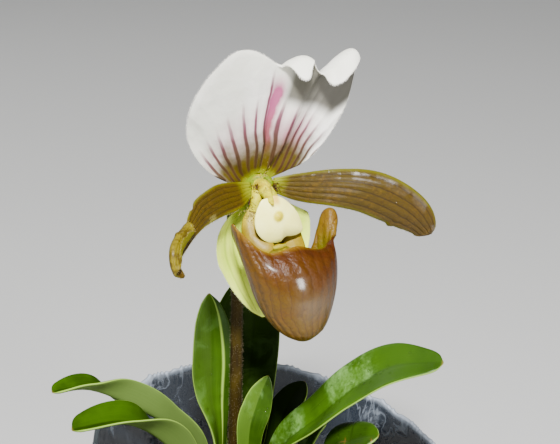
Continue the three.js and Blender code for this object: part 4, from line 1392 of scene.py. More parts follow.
def dorsal_sepal(u, v):
    degrees, lean, roll, run, past = sepal_run(u, v)
    theta = math.radians(degrees)
    bend = 1 / SEPAL_BEND if roll > 0 else -1 / 7
    across, out = run * math.cos(lean), run * math.sin(lean)
    if past:
        rolled = min(past, SEPAL_OVER / abs(bend))
        along, rise = arc(rolled, lean, bend)
        way = lean + bend * rolled
        across += along + (past - rolled) * math.cos(way)
        out += rise + (past - rolled) * math.sin(way)
    groove = -1.8 * bell(degrees, 1, 5.5) * math.sin(math.pi * min(run / 56, 1))
    pleat = 2.5 * bell(degrees, 16, 2.8) * max(0, (run - 34) / 14) ** 1.5
    root = -3.1 * max(0, 1 - (run - SEPAL_START) / 14)
    quill = 0.16 * math.cos(math.pi * sepal_vein(u, v) * 2)
    quill *= min(max((run - 8) / 10, 0), 1) * max(0, 1 - run / 48)
    return flower(across * math.sin(theta), across * math.cos(theta), out + groove + pleat + root + quill)


def sepal_vein(u, v):
    """The number of the last vein from the left margin, and the share of the way to the next."""
    degrees, _, _, run, _ = sepal_run(u, v)
    drift = -4 * bell(run, 24, 9) * bell(degrees, -2, 12)
    straight = (degrees - drift) / ease(SPREAD_LEFT if degrees < 0 else SPREAD_RIGHT, run)
    return float(np.interp(straight, SEPAL_VEINS, range(len(SEPAL_VEINS)))) + FIRST_VEIN


def sepal_marks(u, v):
    _, _, _, run, past = sepal_run(u, v)
    return sepal_vein(u, v), run + past


class ORCHID_OT_dorsal_sepal(bpy.types.Operator):
    """Makes the large white upper sepal with its rolled margin and fringe"""

    bl_idname = "orchid.dorsal_sepal"
    bl_label = "Upper sepal"

    def execute(self, context):
        settings = look().flower
        thickness = settings.sepal_thickness / MM
        across = [-1 + 2 * i / SEPAL_COLUMNS for i in range(SEPAL_COLUMNS + 1)]
        along = [SEPAL_BODY * i / SEPAL_BODY_ROWS for i in range(SEPAL_BODY_ROWS)]
        along += [SEPAL_BODY + (1 - SEPAL_BODY) * s for s in eased_steps(SEPAL_ROLL_ROWS)]
        form = sheet(dorsal_sepal, across, along, margin_thickness(thickness, 0.02, 60), sepal_marks)
        make_piece("upper_sepal", form, white_sepal_finish(settings), ["dorsal_sepal"])
        draw = random.Random(look().pot.seed + 2)
        hairs = Form()
        places = [(draw.uniform(-0.97, 0.99), 1.0) for _ in range(SEPAL_HAIRS)]
        fringe(hairs, dorsal_sepal, places, lambda u, v: (u, 0.97), 0.75, thickness, draw)
        white = hair_finish("sepal_hair", tone(226, 222, 210), tone(244, 242, 236))
        make_piece("upper_sepal_fringe", hairs, white)
        return {"FINISHED"}


# ---------- petals and lower sepal ----------

def left_notches(u, t):
    """Bites out of the left petal's upper edge."""
    if u < 0:
        return 1.0
    return 1 - 0.2 * bell(t, 0.44, 0.02) - 0.2 * bell(t, 0.55, 0.02) + 0.14 * bell(t, 0.67, 0.012)


def right_notches(u, t):
    """Lobes on the right petal's lower edge and the bite beside its tip."""
    if u < 0:
        return 1.0
    return 1 - 0.05 * bell(t, 0.5, 0.2) + 0.13 * bell(t, 0.76, 0.022) + 0.22 * bell(t, 0.965, 0.022)


def petal_lift(veins, depth):
    """Shallow channels along the veins."""
    def lift(u, t):
        return -depth * (0.5 + 0.5 * math.cos(2 * math.pi * (u * veins + 0.1))) * min(t * 5, 1) * (1 - u ** 4)
    return lift


PETAL_RIGHT = {
    "spine": flower_path([
        (4.2, 0.3, 0.3), (14, -1.4, 4.5), (25, -3.0, 8), (36, -6.2, 11),
        (46.2, -12, 13), (55.8, -19.9, 14), (63.8, -29.2, 13),
    ]),
    "look": [(-0.2, -0.9, 0.3), (-0.2, -0.9, 0.3)],
    "half": [
        (0, 2.4), (0.12, 4.6), (0.3, 6.4), (0.5, 8.1), (0.66, 8.5), (0.8, 7.6), (0.9, 5.8),
        (0.97, 3.4), (1, 0.6),
    ],
    "curl": [(0, 0), (0.3, -2), (1, -2.5)],
    "wave": 0.3,
    "trim": right_notches,
    "lift": petal_lift(2.9, 0.1),
}

PETAL_LEFT = {
    "spine": flower_path([
        (-4.4, 0.9, 0.3), (-11.8, 1.4, 3), (-18.7, 2.8, 6), (-25.3, 3.5, 9.5), (-30.7, 3.8, 13),
        (-35.3, 2.6, 16.5), (-40.3, 1, 20), (-45.1, -0.1, 23.5), (-48, -1.9, 26),
        (-48.4, -5.9, 27.5), (-45.9, -9, 28),
    ]),
    "look": [
        (0.3, -0.9, 0.4), (0.6, -0.6, 0.45), (0.7, -0.5, 0.45), (0.75, -0.4, 0.45),
        (0.8, -0.3, 0.45), (0.85, -0.2, 0.4), (0.85, -0.3, 0.35), (0.85, -0.4, 0.3),
    ],
    "half": [
        (0, 2.4), (0.1, 4.6), (0.2, 5.3), (0.3, 5.1), (0.4, 4.6), (0.5, 3.5), (0.6, 2.9),
        (0.7, 3.1), (0.8, 3), (0.9, 2.4), (1, 0.4),
    ],
    "curl": [(0, 0), (0.3, -2), (1, -2.5)],
    "flap": [(0.54, 0), (0.6, 3.5), (0.7, 5.3), (0.8, 3.6), (0.9, 0.8), (0.93, 0)],
    "wave": 0.3,
    "trim": left_notches,
    "lift": petal_lift(2.9, 0.1),
}

SYNSEPAL = {
    "spine": flower_path([
        (0, -4.9, -1.7), (-0.2, -14, -2.6), (1.3, -26, -2.6), (1.2, -38, -1), (-0.3, -50, 1.5),
    ]),
    "look": [(0.53, -0.848, 0), (0.53, -0.848, 0)],
    "half": [(0, 5.5), (0.12, 13.5), (0.25, 18.4), (0.4, 19.4), (0.6, 17), (0.8, 12), (0.93, 6.2), (1, 0.6)],
    "curl": [(0, 1), (1, 1)],
    "lift": petal_lift(5, 0.2),
}


BLADE_HAIRS = 420


def make_blade_piece(name, shape, thickness, finish, node, columns=80, rows=150):
    """A leaf, petal or sepal from its shape."""
    def marks(u, t):
        half = ease(shape["half"], t)
        return u * margin_reach(shape, u, t, half)[2] / half, t

    told = marks if "flap" in shape else None
    form = sheet(blade(shape), both_ways(columns), eased_steps(rows), margin_thickness(thickness), told)
    make_piece(name, form, finish, [node])


def side_fringe(shape, hair, thickness, seed):
    """Hairs down both sides of a blade and round its tip."""
    draw = random.Random(seed)
    form = Form()
    places = [(draw.choice((-1, 1)), draw.uniform(0.1, 0.995)) for _ in range(BLADE_HAIRS)]
    fringe(form, blade(shape), places, lambda u, t: (u * 0.9, t), hair, thickness, draw)
    return form


class ORCHID_OT_petals(bpy.types.Operator):
    """Makes both petals and their fringes"""

    bl_idname = "orchid.petals"
    bl_label = "Petals"

    def execute(self, context):
        settings = look().flower
        thickness = settings.petal_thickness / MM
        finish = petal_finish(settings)
        hair = hair_finish("petal_hair", tone(128, 104, 40), tone(190, 180, 120))
        for side, shape in (("right", PETAL_RIGHT), ("left", PETAL_LEFT)):
            make_blade_piece(f"{side}_petal", shape, thickness, finish, f"petal_{side}")
            hairs = side_fringe(shape, 0.8, thickness, 21 + len(side))
            make_piece(f"{side}_petal_fringe", hairs, hair)
        return {"FINISHED"}


class ORCHID_OT_lower_sepal(bpy.types.Operator):
    """Makes the pale lower sepal behind the pouch"""

    bl_idname = "orchid.lower_sepal"
    bl_label = "Lower sepal"

    def execute(self, context):
        settings = look().flower
        thickness = settings.sepal_thickness / MM
        finish = lower_sepal_finish(settings)
        make_blade_piece("lower_sepal", SYNSEPAL, thickness, finish, "synsepal", 70, 90)
        hairs = side_fringe(SYNSEPAL, 0.6, thickness, 31)
        pale = hair_finish("lower_sepal_hair", tone(204, 214, 150), tone(232, 238, 206))
        make_piece("lower_sepal_fringe", hairs, pale)
        return {"FINISHED"}


# ---------- pouch ----------

# From the toe up to the mouth: share of the way, height, way out, half width and half depth.
LIP_PROFILE = [
    (0, -46.5, 27.5, 0.6, 0.6), (0.06, -45.6, 27, 3.6, 3), (0.2, -42, 25.6, 8.6, 7),
    (0.4, -36, 22.6, 12.6, 10), (0.6, -28.5, 20.2, 15, 12), (0.8, -20, 17.5, 16.6, 12.2),
    (0.93, -15.5, 14, 17.2, 11.6), (1, -13, 11.5, 17.6, 10.5),
]

# Height of the mouth's edge round the lip, 0 degrees in front: two ears and a raised back.
LIP_EDGE = [
    (-180, 9), (-165, 8), (-150, 5), (-122, 0.5), (-113, 2.5), (-104, 6), (-96, 7.6),
    (-88, 8.3), (-80, 7.1), (-70, 5.6), (-60, 3.8), (-45, 0.8), (-30, -0.7), (0, 0), (15, -1.6),
    (30, -3.8), (45, -5.2), (60, -5.5), (66, -4.6), (72, -3.3), (78, -1.6), (84, 0.7),
    (90, 3.1), (96, 4.1), (102, 3.4), (108, 1.4), (114, 0), (155, 0), (165, 7), (180, 9),
]

# How far the mouth's edge stands out sideways at the ears.
LIP_FLARE = [
    (-130, 0), (-112, 0.4), (-88, 1), (-70, 0.4), (-46, 0), (50, 0), (60, 0), (66, 1.2),
    (72, 2.9), (78, 4.3), (84, 5.1), (90, 5), (96, 3.9), (102, 2.8), (108, 2.6), (114, 3),
    (124, 2), (135, 0),
]

# How much fuller the right half is.
LIP_RIGHT = [(0, 1), (0.2, 1.02), (0.4, 1.06), (0.6, 1.08), (0.8, 1.06), (0.93, 1.02), (1, 1)]

# Share of the full height that the wall has: a bay behind each ear.
LIP_TOP = [
    (-165, 1), (-150, 0.9), (-135, 0.88), (-120, 0.95), (-112, 1), (104, 1), (110, 0.985),
    (114, 0.944), (120, 0.857), (126, 0.779), (132, 0.722), (140, 0.675), (150, 0.67),
    (158, 0.78), (166, 1),
]


def lip(degrees, v):
    """A place on the pouch, 0 degrees in front, v from the toe at 0 to the mouth's edge at 1."""
    if v > 0.5:
        v = 0.5 + (v - 0.5) * (ease(LIP_TOP, degrees) - 0.5) / 0.5
    angle = math.radians(degrees)
    lift = max(0, (v - 0.8) / 0.2) ** 2
    fuller = ease(LIP_RIGHT, v) if 0 < degrees < 180 else 1
    height, middle, wide, deep = (ease(LIP_PROFILE, v, column) for column in (1, 2, 3, 4))
    s = wide * fuller * math.sin(angle) + math.copysign(ease(LIP_FLARE, degrees) * lift, degrees)
    return flower(s, height + ease(LIP_EDGE, degrees) * lift, middle + deep * math.cos(angle))


@cache
def lip_frame(degrees, v):
    """A place on the pouch, the way up it and the way out of it."""
    around = lip(degrees + 1.5, v) - lip(degrees - 1.5, v)
    rise = lip(degrees, min(v + 0.01, 1)) - lip(degrees, max(v - 0.01, 0))
    return lip(degrees, v), rise.normalized(), around.cross(rise).normalized()


def make_pouch(thickness):
    """The pouch's wall: out from the toe to the rim and back down inside."""
    levels = [0.03, 0.045, 0.06, 0.08, 0.11] + [0.14 + 0.72 * k / 26 for k in range(27)]
    levels += [0.88, 0.9, 0.92, 0.94, 0.955, 0.97, 0.985, 1.0]

    def place(ring, angle, share):
        v, depth, face, stand = ring
        degrees = -180 + 360 * share
        point, rise, out = lip_frame(degrees, v)
        inset = thickness * (0.6 + 0.4 * min(1, (1 - v) / 0.05)) * depth
        return point - out * inset + rise * thickness * stand, (degrees, v, face)

    # Each ring: level, share of the wall's thickness, face, and how far it stands over its level.
    rings = [(v, 0, 1.0, 0) for v in levels] + [(1.0, 0.5, 0.0, 0.28)]
    rings += [(v, 1, -1.0, 0) for v in reversed(levels)]
    toe = flower(0, LIP_PROFILE[0][1] - 0.1, LIP_PROFILE[0][2])
    return turned(rings, 150, place, toe, toe + Vector((0, 0, thickness)))


LEFT_LOBE = [
    (-4, -5, 2.4), (-7, -9, 3.6), (-8, -12.3, 6), (-7.6, -15, 9), (-6.2, -17.6, 12), (-5.4, -21, 13.5),
]
RIGHT_LOBE = [
    (4, -5, 2.4), (6.4, -10, 4), (6.6, -14.5, 6.5), (6.4, -18, 9), (5.8, -20.5, 12), (5.4, -23, 13.5),
]


def make_lobe(points):
    """A side lobe folded into the mouth: a broad fleshy band."""
    wide = [(0, 1.6), (0.25, 2.8), (0.5, 3.8), (0.8, 4), (1, 2.6)]
    thick = [(0, 1), (0.3, 1.5), (0.8, 1.7), (1, 0.9)]

    def radius(t, angle):
        dent = 1 + 0.03 * math.sin(3 * angle + 5 * t)
        return dent / math.hypot(math.cos(angle) / ease(wide, t), math.sin(angle) / ease(thick, t))
    return tube(flower_path(points), 48, 70, radius)


class ORCHID_OT_pouch(bpy.types.Operator):
    """Makes the pouch with its ears and the side lobes folded into its mouth"""

    bl_idname = "orchid.pouch"
    bl_label = "Pouch"

    def execute(self, context):
        settings = look().flower
        form = make_pouch(settings.lip_thickness / MM)
        make_piece("pouch", form, pouch_finish(settings), ["lip_pouch"], turn=360.0)
        peach = lobe_finish()
        make_piece("left_lobe", make_lobe(LEFT_LOBE), peach)
        make_piece("right_lobe", make_lobe(RIGHT_LOBE), peach)
        floor = make_ball(flower(-2, -18.4, 13.5), (5, 4, 2.6))
        shadow = column_finish("mouth_floor", tone(122, 112, 6), tone(88, 76, 2))
        make_piece("mouth_floor", floor, shadow)
        # A pale bar across the mouth under the shield: a painted highlight, a pale part set where light
        # gleams.
        path = flower_path([(-4.4, -15.9, 14.2), (-2, -15.6, 15), (0.4, -15.9, 14.6)])
        highlight_bar = tube(path, 12, 16, lambda t, a: 0.6 + 0.3 * math.sin(math.pi * t))
        pale = column_finish("mouth_bar", tone(168, 164, 50), tone(140, 136, 30))
        make_piece("mouth_bar", highlight_bar, pale)
        return {"FINISHED"}


# ---------- column and shield ----------

SHIELD_TILT = math.radians(8)
SHIELD_CENTRE = (0, -7.7, 11)
BOSS_PLACE = (-1.3, 2.2)

# Outline round the shield's middle, degrees from its top: a cleft above and a small tooth below.
SHIELD_OUTLINE = [
    (-180, 7.7), (-165, 8), (-141, 8.4), (-108, 9.1), (-74, 9.6), (-50, 10), (-35, 10.4),
    (-26, 9.7), (-17.5, 8.9), (-8.6, 9.2), (10, 8), (38, 6.8), (69, 7), (93, 8), (111, 9.4),
    (122, 10.6), (131, 10), (149, 7.8), (160, 6.8), (171, 6.9), (180, 7.7),
]


def shield_point(degrees, ratio, out):
    """A place on the shield and its lay: mm to the left of the middle and mm above it."""
    reach = ease(SHIELD_OUTLINE, degrees) * ratio
    angle = math.radians(degrees)
    q, s = reach * math.cos(angle), reach * math.sin(angle)
    lift = out + (0.9 * bell(math.hypot(s - BOSS_PLACE[0], q - BOSS_PLACE[1]), 0, 1.3) if out > 0 else 0)
    u = SHIELD_CENTRE[1] + q * math.cos(SHIELD_TILT) + lift * math.sin(SHIELD_TILT)
    n = SHIELD_CENTRE[2] - q * math.sin(SHIELD_TILT) + lift * math.cos(SHIELD_TILT)
    return flower(s, u, n), (s, q, 1.0)


def make_shield():
    front = [0.06 + 0.94 * k / 22 for k in range(23)]
    profile = [(r, 2.3 - 2.0 * r ** 2.4) for r in front]
    profile += [(1.01, 0.05), (1.0, -0.25), (0.95, -0.5), (0.7, -0.65), (0.4, -0.75)]

    def place(ring, angle, share):
        return shield_point(-180 + 360 * share, *ring)

    return turned(profile, 96, place, shield_point(0, 0, 2.3)[0], shield_point(0, 0, -0.8)[0])


def make_ball(centre, radii, rings=16, sides=24):
    """A rounded knob with the given half sizes."""
    def place(ring, angle, share):
        tilt = math.pi * ring / rings
        way = polar(math.sin(tilt), angle, math.cos(tilt))
        dent = 1 + 0.06 * noise.noise(way * 2 + centre)
        return centre + Vector([w * r * dent for w, r in zip(way, radii)]), (share, ring / rings, 1.0)

    top = Vector((0, 0, radii[2]))
    return turned(range(1, rings), sides, place, centre + top, centre - top)


def make_bristles(draw, patches):
    """Short stiff hairs in patches: (s, u, n), spread, count, length."""
    form = Form()
    for place, spread, count, reach in patches:
        for _ in range(count):
            s, u, n = (p + draw.gauss(0, spread) for p in place)
            root = flower(s, u, n * 0.7 + place[2] * 0.3)
            way = flower(draw.gauss(0, 0.6), draw.gauss(0.1, 0.6), 1) - HUB
            needle(form, root, root + way.normalized() * reach * draw.uniform(0.6, 1.1), 0.1, 0.1)
    return form


class ORCHID_OT_column(bpy.types.Operator):
    """Makes the column, its shield and anthers, and the bristles round them"""

    bl_idname = "orchid.column"
    bl_label = "Column and shield"

    def execute(self, context):
        settings = look().flower
        make_piece("shield", make_shield(), shield_finish(settings), ["column"])
        path = flower_path([(0, -0.2, -1), (0, 0.1, 2), (0, -1.4, 6), (0, -4.5, 10.8)])
        body = tube(path, 32, 40, lambda t, a: 2.7 - 0.5 * t + 0.1 * math.sin(5 * a))
        for s in (-2.6, 2.6):
            body.joined(make_ball(flower(s, -3.6, 6), (1.8, 1.8, 1.8)))
        flank = flower_path([(-1.6, 1.2, 0.6), (-3, -1, 2), (-4.4, -3.4, 3), (-5.4, -6, 3.6)])
        body.joined(tube(flank, 24, 40, lambda t, a: (2.5 - 0.7 * t) * (1 + 0.06 * math.sin(2 * a + 6 * t))))
        swell = [(0, 2.6), (0.25, 2.7), (0.5, 2), (0.8, 1.2), (1, 0.4)]
        crest = flower_path([
            (-0.6, 1, -1), (-0.9, 1.6, 2), (-1.8, 1.2, 6), (-2.8, 0.3, 9.5), (-3.2, -0.6, 12.4),
        ])
        body.joined(tube(crest, 40, 60, lambda t, a: ease(swell, t) * (1 + 0.08 * math.sin(3 * a + 7 * t))))
        column = column_finish("column", tone(206, 196, 10), tone(160, 158, 2))
        make_piece("column_body", body, column)
        hub = make_ball(flower(-0.5, 1.6, -1.2), (5, 2.3, 3.4), 24, 40)
        green = column_finish("receptacle", tone(112, 130, 0), tone(92, 108, 0))
        make_piece("receptacle", hub, green)
        draw = random.Random(look().pot.seed + 3)
        dark = make_bristles(draw, [
            ((-3.8, 2.2, 2.2), 0.8, 60, 2.2), ((-6.9, -2, 2), 0.7, 60, 2),
            ((4.1, 0.2, 1), 0.8, 60, 2.2), ((5.3, -1.3, 1), 0.7, 50, 2),
        ])
        brown = hair_finish("dark_bristle", tone(96, 52, 28), tone(60, 30, 24))
        make_piece("dark_bristles", dark, brown)
        olive = make_bristles(draw, [
            ((-7.4, -5, 5), 1.3, 80, 1.5), ((5.2, -6.5, 6), 1.5, 50, 1.6),
            ((-1.5, 4.5, 2), 2, 60, 1.2), ((-2, 1.5, 7), 1.2, 60, 1.2),
        ])
        yellow = hair_finish("yellow_bristle", tone(150, 132, 44), tone(226, 206, 112))
        make_piece("yellow_bristles", olive, yellow)
        return {"FINISHED"}


# ---------- leaves ----------

def broad_left(u, t):
    """The fuller left side of the leaf behind the stem."""
    return 1 + 0.6 * bell(t, 0.8, 0.15) if u < 0 else 1.0


LEAVES = {
    "leaf_1": {
        "spine": [
            (-27.4, 12, 83), (-26.5, 12, 113.5), (-28.5, 16.5, 132), (-28.5, 20.5, 151), (-29, 24, 171),
        ],
        "look": [(1, 0, 0.2), (0.8, -0.55, 0.1), (0.5, -0.85, 0.1), (0.5, -0.85, 0.1), (0.5, -0.85, 0.1)],
        "half": [
            (0, 3.8), (0.25, 4.4), (0.38, 6.2), (0.5, 8.2), (0.65, 9.4), (0.85, 7.3), (0.95, 4), (1, 0.4),
        ],
        "fold": [(0, 42), (0.3, 25), (1, 6)],
    },
    "leaf_2": {
        "spine": [(-17, 20.8, 83), (-15.5, 24, 108), (-14, 29, 130), (-12, 33, 154), (-11.5, 37, 178)],
        "look": [(0, -1, 0.2), (0, -1, 0.2)],
        "half": [(0, 5), (0.2, 8), (0.45, 10.2), (0.7, 10.5), (0.87, 8), (0.95, 4.5), (1, 0.4)],
        "fold": [(0, 40), (0.3, 22), (1, 8)],
        "trim": broad_left,
    },
    "leaf_3": {
        "spine": [(-14, 3.6, 83), (-14, 2, 120), (-11, 4, 134), (-6.5, 7, 145)],
        "look": [(0.2, -1, 0.3), (0.2, -1, 0.3)],
        "half": [(0, 2.6), (0.25, 4.6), (0.55, 6.3), (0.8, 5), (0.94, 2.4), (1, 0.3)],
        "fold": [(0, 30), (0.4, 25), (1, 18)],
    },
    "leaf_4": {
        "spine": [
            (-9.2, 11, 81), (-1, 4, 114), (12.6, -3, 132.4), (24.8, -8, 148), (38.6, -13, 160.6),
            (56, -20, 167),
        ],
        "look": [
            (-1, 0, 0.4), (-0.7, -0.2, 0.7), (-0.5, -0.2, 0.8),
            (-0.4, -0.2, 0.8), (-0.3, -0.25, 0.85), (-0.1, -0.3, 0.9),
        ],
        "half": [
            (0, 4), (0.18, 7.5), (0.4, 10.5), (0.6, 11.7), (0.8, 10.2), (0.93, 6.4), (0.98, 3.8), (1, 0.4),
        ],
        "fold": [(0, 42), (0.3, 25), (1, 10)],
    },
    "leaf_5": {
        "spine": [(14.6, -4.8, 81), (18, -8, 120.5), (24.5, -13, 129), (34, -19, 135.5)],
        "look": [(-0.8, 0.3, 0.5), (-0.3, -0.2, 0.9), (-0.1, -0.3, 1), (-0.1, -0.3, 1)],
        "half": [(0, 3.4), (0.3, 7), (0.6, 8.8), (0.85, 6.6), (0.95, 3.6), (1, 0.4)],
        "fold": [(0, 40), (0.4, 15), (1, 8)],
    },
    "leaf_6": {
        "spine": [(-8.6, 19, 82), (-4, 24, 102), (1, 31, 115), (8, 38, 123)],
        "look": [(-0.7, -0.7, 0.4), (-0.6, -0.7, 0.5), (-0.6, -0.7, 0.5), (-0.5, -0.6, 0.7)],
        "half": [(0, 3.6), (0.3, 6), (0.6, 7.6), (0.85, 5.6), (0.95, 3), (1, 0.4)],
        "fold": [(0, 40), (0.4, 20), (1, 8)],
    },
    "leaf_7": {
        "spine": [(6, 4, 82), (7, 7, 108), (11, 9, 118), (16, 11, 123)],
        "look": [(0.2, -1, 0.4), (-0.2, -0.7, 0.7), (-0.5, -0.5, 0.7), (-0.4, -0.4, 0.8)],
        "half": [(0, 2.4), (0.3, 3.2), (0.6, 3.6), (0.85, 2.8), (0.95, 1.6), (1, 0.3)],
        "fold": [(0, 35), (0.4, 25), (1, 12)],
    },
    "leaf_8": {
        "spine": [
            (-30.6, 12, 81), (-34.8, 14, 110), (-48, 10.5, 123.2),
            (-61, 6.8, 134), (-74.5, 2.8, 142), (-86.5, -4, 144.5),
        ],
        "look": [
            (1, 0, 0.4), (0.6, 0.7, 0.4), (0.35, 0.9, 0.2),
            (0.2, 0.95, 0.2), (0, 0.2, 1), (-0.1, 0.12, 1),
        ],
        "half": [
            (0, 3.6), (0.2, 4.8), (0.45, 9.2), (0.65, 8.8), (0.85, 6.8), (0.95, 5), (0.985, 3.2), (1, 0.4),
        ],
        "fold": [(0, 42), (0.3, 35), (0.65, 36), (0.85, 33), (1, 20)],
    },
    "leaf_9": {
        "spine": [
            (-34, 11, 80), (-39.4, 2.8, 104.3), (-45.8, -2.8, 121.8), (-59.4, -10, 135.2),
            (-77.9, -18, 137.2),
        ],
        "look": [(1, 0, 0.4), (0.6, 0.8, 0.3), (0.15, 0.72, 0.68), (-0.05, -0.1, 1), (-0.2, -0.1, 1)],
        "half": [
            (0, 3.8), (0.22, 8.2), (0.45, 10), (0.65, 9.3), (0.85, 8.2), (0.95, 6.2), (0.985, 4), (1, 0.4),
        ],
        "fold": [(0, 45), (0.3, 45), (0.7, 42), (1, 28)],
    },
}

# What sets a leaf's finish apart from the plain one.
LEAF_SKINS = {
    # pale is painted light on one half, painted_shade is painted shade, crease brings painted light and
    # shade, and the water film's tint is a painted sheen.
    "leaf_1": {"water_and_sheen": 0.15, "crease": 0.5, "pale": 0.2, "painted_shade": 0.42},
    "leaf_2": {"water_and_sheen": 0.05, "painted_shade": 0.86},
    "leaf_3": {"water_and_sheen": 0.3, "pale": 0.45, "painted_shade": 0.35},
    "leaf_4": {"water_and_sheen": 0.75, "dew_sheen_and_shade": True},
    "leaf_5": {"water_and_sheen": 0.2, "old": 1.0, "painted_shade": 0.3},
    "leaf_6": {"water_and_sheen": 0.0, "painted_shade": 0.9},
    "leaf_8": {"painted_shade": 0.3, "dull": 0.9},
    "leaf_9": {"painted_shade": 0.5, "dull": 0.9},
}


class ORCHID_OT_leaves(bpy.types.Operator):
    """Makes the nine strap leaves"""

    bl_idname = "orchid.leaves"
    bl_label = "Leaves"

    def execute(self, context):
        settings = look().leaf
        thickness = settings.thickness / MM
        plain = leaf_finish("leaf", settings, 0.15)
        for name, shape in LEAVES.items():
            finish = plain
            if name in LEAF_SKINS:
                finish = leaf_finish(f"{name}_skin", settings, **LEAF_SKINS[name])
            make_blade_piece(f"{name}_blade", shape, thickness, finish, name, 40, 110)
        return {"FINISHED"}


# ---------- water drops ----------

SMALL_DROP = 0.3
LARGE_DROP = 0.85


def add_drop(form, root, out, radius, draw):
    """A drop that sits on a surface: a low dome, a little slumped."""
    side = out.orthogonal().normalized()
    up = out.cross(side)
    height = radius * draw.uniform(0.55, 0.75)
    rings = 6

    def place(ring, angle, share):
        tilt = math.pi * 0.62 * (1 - ring / rings)
        wide = radius * math.sin(tilt) * (1 + 0.08 * math.sin(2 * angle + radius * 9))
        spot = root + side * (wide * math.cos(angle)) + up * (wide * math.sin(angle))
        return spot + out * (height * (math.cos(tilt) + 0.15)), (0.0, 0.0, 1.0)

    form.joined(turned(range(rings), 14, place, root - out * radius * 0.2, root + out * height * 1.15))


def face_of(point, u, t):
    """A place on a surface and the way it faces."""
    across = point(min(u + 0.02, 1), t) - point(max(u - 0.02, -1), t)
    along = point(u, min(t + 0.01, 1)) - point(u, max(t - 0.01, 0))
    return point(u, t), across.cross(along).normalized()


def scatter_drops(form, point, thickness, count, draw):
    """Drops on the upper face of a leaf, more of them small than large."""
    for _ in range(count):
        root, out = face_of(point, draw.uniform(-0.85, 0.85), draw.uniform(0.15, 0.95))
        if out.z < 0:
            out = -out
        radius = SMALL_DROP + (LARGE_DROP - SMALL_DROP) * draw.random() ** 2
        add_drop(form, root + out * thickness * 0.5, out, radius, draw)


class ORCHID_OT_drops(bpy.types.Operator):
    """Makes the drops of water on the leaves, the right petal and the pouch"""

    bl_idname = "orchid.drops"
    bl_label = "Water drops"

    def execute(self, context):
        draw = random.Random(look().pot.seed + 4)
        water = water_finish()
        thickness = look().leaf.thickness / MM
        form = Form()
        for name, count in (("leaf_1", 16), ("leaf_2", 8), ("leaf_3", 18), ("leaf_4", 40), ("leaf_5", 8)):
            scatter_drops(form, blade(LEAVES[name]), thickness, count, draw)
        make_piece("leaf_drops", form, water)
        form = Form()
        petal = blade(PETAL_RIGHT)
        for u, t, radius in ((-0.9, 0.29, 0.75), (0.25, 0.62, 0.45), (-0.1, 0.68, 0.25), (0.4, 0.4, 0.25)):
            root, out = face_of(petal, u, t)
            out = out if out.y < 0 else -out
            add_drop(form, root + out * 0.35, out, radius, draw)
        make_piece("petal_drops", form, water)
        form = Form()
        for degrees, v, radius in ((22, 0.24, 0.95), (30, 0.3, 0.3), (8, 0.55, 0.25), (-30, 0.7, 0.3)):
            root, _, out = lip_frame(degrees, v)
            add_drop(form, root, out, radius, draw)
        make_piece("pouch_drops", form, water)
        return {"FINISHED"}


# ---------- stage ----------

CAMERA_PLACE = (-0.002, -0.476, 0.445)
CAMERA_PITCH = math.radians(64)
CAMERA_SENSOR = 36.0
CAMERA_LENS = 1500 / 560 * CAMERA_SENSOR
FLOOR_REACH = 3.0
FLOOR_STEPS = 24


def add_light(name, place, aim, size, power):
    light = bpy.data.lights.new(name, "AREA")
    light.shape = "RECTANGLE"
    light.size, light.size_y = size
    light.energy = power
    holder = bpy.data.objects.new(name, light)
    holder.location = place
    holder.rotation_euler = (Vector(aim) - Vector(place)).to_track_quat("-Z", "Y").to_euler()
    bpy.context.scene.collection.objects.link(holder)


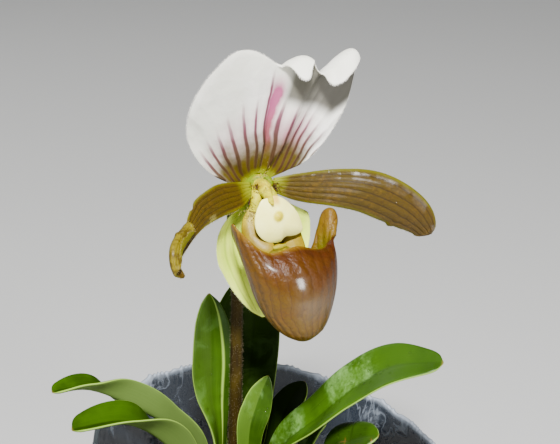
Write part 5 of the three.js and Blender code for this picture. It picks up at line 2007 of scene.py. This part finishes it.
class ORCHID_OT_stage(bpy.types.Operator):
    """Sets the floor, the lights and the camera"""

    bl_idname = "orchid.stage"
    bl_label = "Stage"

    def execute(self, context):
        settings = look().stage
        scene = bpy.context.scene
        mesh = bpy.data.meshes.new("floor")
        marks = [FLOOR_REACH * (2 * i / FLOOR_STEPS - 1) for i in range(FLOOR_STEPS + 1)]
        corners = [(x, y, 0) for y in marks for x in marks]
        wide = FLOOR_STEPS + 1
        starts = [j * wide + i for j in range(FLOOR_STEPS) for i in range(FLOOR_STEPS)]
        faces = [(k, k + 1, k + wide + 1, k + wide) for k in starts]
        mesh.from_pydata(corners, [], faces)
        mesh.materials.append(floor_finish(settings))
        floor = bpy.data.objects.new("floor", mesh)
        scene.collection.objects.link(floor)
        flower_place = (0, -0.01, 0.2)
        add_light("main_light", (0.01, -0.65, 1.0), flower_place, (0.12, 0.12), settings.key)
        add_light("front_light", (0.6, -0.66, 0.33), flower_place, (0.16, 0.26), settings.front)
        add_light("side_light", (-0.45, -0.6, 0.42), flower_place, (0.5, 0.5), settings.side)
        add_light("back_light", (-0.55, 0.65, 0.6), flower_place, (0.6, 0.6), settings.back)
        world = bpy.data.worlds.new("room")
        world.use_nodes = True
        background = world.node_tree.nodes["Background"]
        background.inputs[0].default_value = (0.92, 0.95, 1.0, 1)
        background.inputs[1].default_value = settings.sky
        scene.world = world
        camera = bpy.data.cameras.new("camera")
        camera.sensor_width = CAMERA_SENSOR
        camera.lens = CAMERA_LENS
        camera.clip_start = 0.01
        holder = bpy.data.objects.new("camera", camera)
        holder.location = CAMERA_PLACE
        holder.rotation_euler = (CAMERA_PITCH, 0, 0)
        scene.collection.objects.link(holder)
        scene.camera = holder
        return {"FINISHED"}


# ---------- add-on ----------

OPERATORS = (
    ORCHID_OT_stage, ORCHID_OT_pot, ORCHID_OT_bark, ORCHID_OT_growths, ORCHID_OT_stem,
    ORCHID_OT_dorsal_sepal, ORCHID_OT_petals, ORCHID_OT_lower_sepal, ORCHID_OT_pouch, ORCHID_OT_column,
    ORCHID_OT_leaves, ORCHID_OT_drops,
)


class ORCHID_PT_panel(bpy.types.Panel):
    """Lists the pieces of the orchid and what can be changed about them"""

    bl_idname = "ORCHID_PT_panel"
    bl_label = "Slipper Orchid"
    bl_space_type = "VIEW_3D"
    bl_region_type = "UI"
    bl_category = "Orchid"

    def draw(self, context):
        settings = context.scene.orchid_look
        for group in (settings.flower, settings.leaf, settings.pot, settings.stage):
            box = self.layout.box()
            for name in group.__annotations__:
                box.prop(group, name)
        for operator in OPERATORS:
            self.layout.operator(operator.bl_idname)


CLASSES = (
    OrchidFlowerLook, OrchidLeafLook, OrchidPotLook, OrchidStageLook, OrchidLook, *OPERATORS,
    ORCHID_PT_panel,
)


def register():
    for kind in CLASSES:
        bpy.utils.register_class(kind)
    bpy.types.Scene.orchid_look = PointerProperty(type=OrchidLook)


def unregister():
    del bpy.types.Scene.orchid_look
    for kind in reversed(CLASSES):
        bpy.utils.unregister_class(kind)


def main():
    register()
    for operator in OPERATORS:
        group, name = operator.bl_idname.split(".")
        getattr(getattr(bpy.ops, group), name)()


if __name__ == "__main__":
    main()
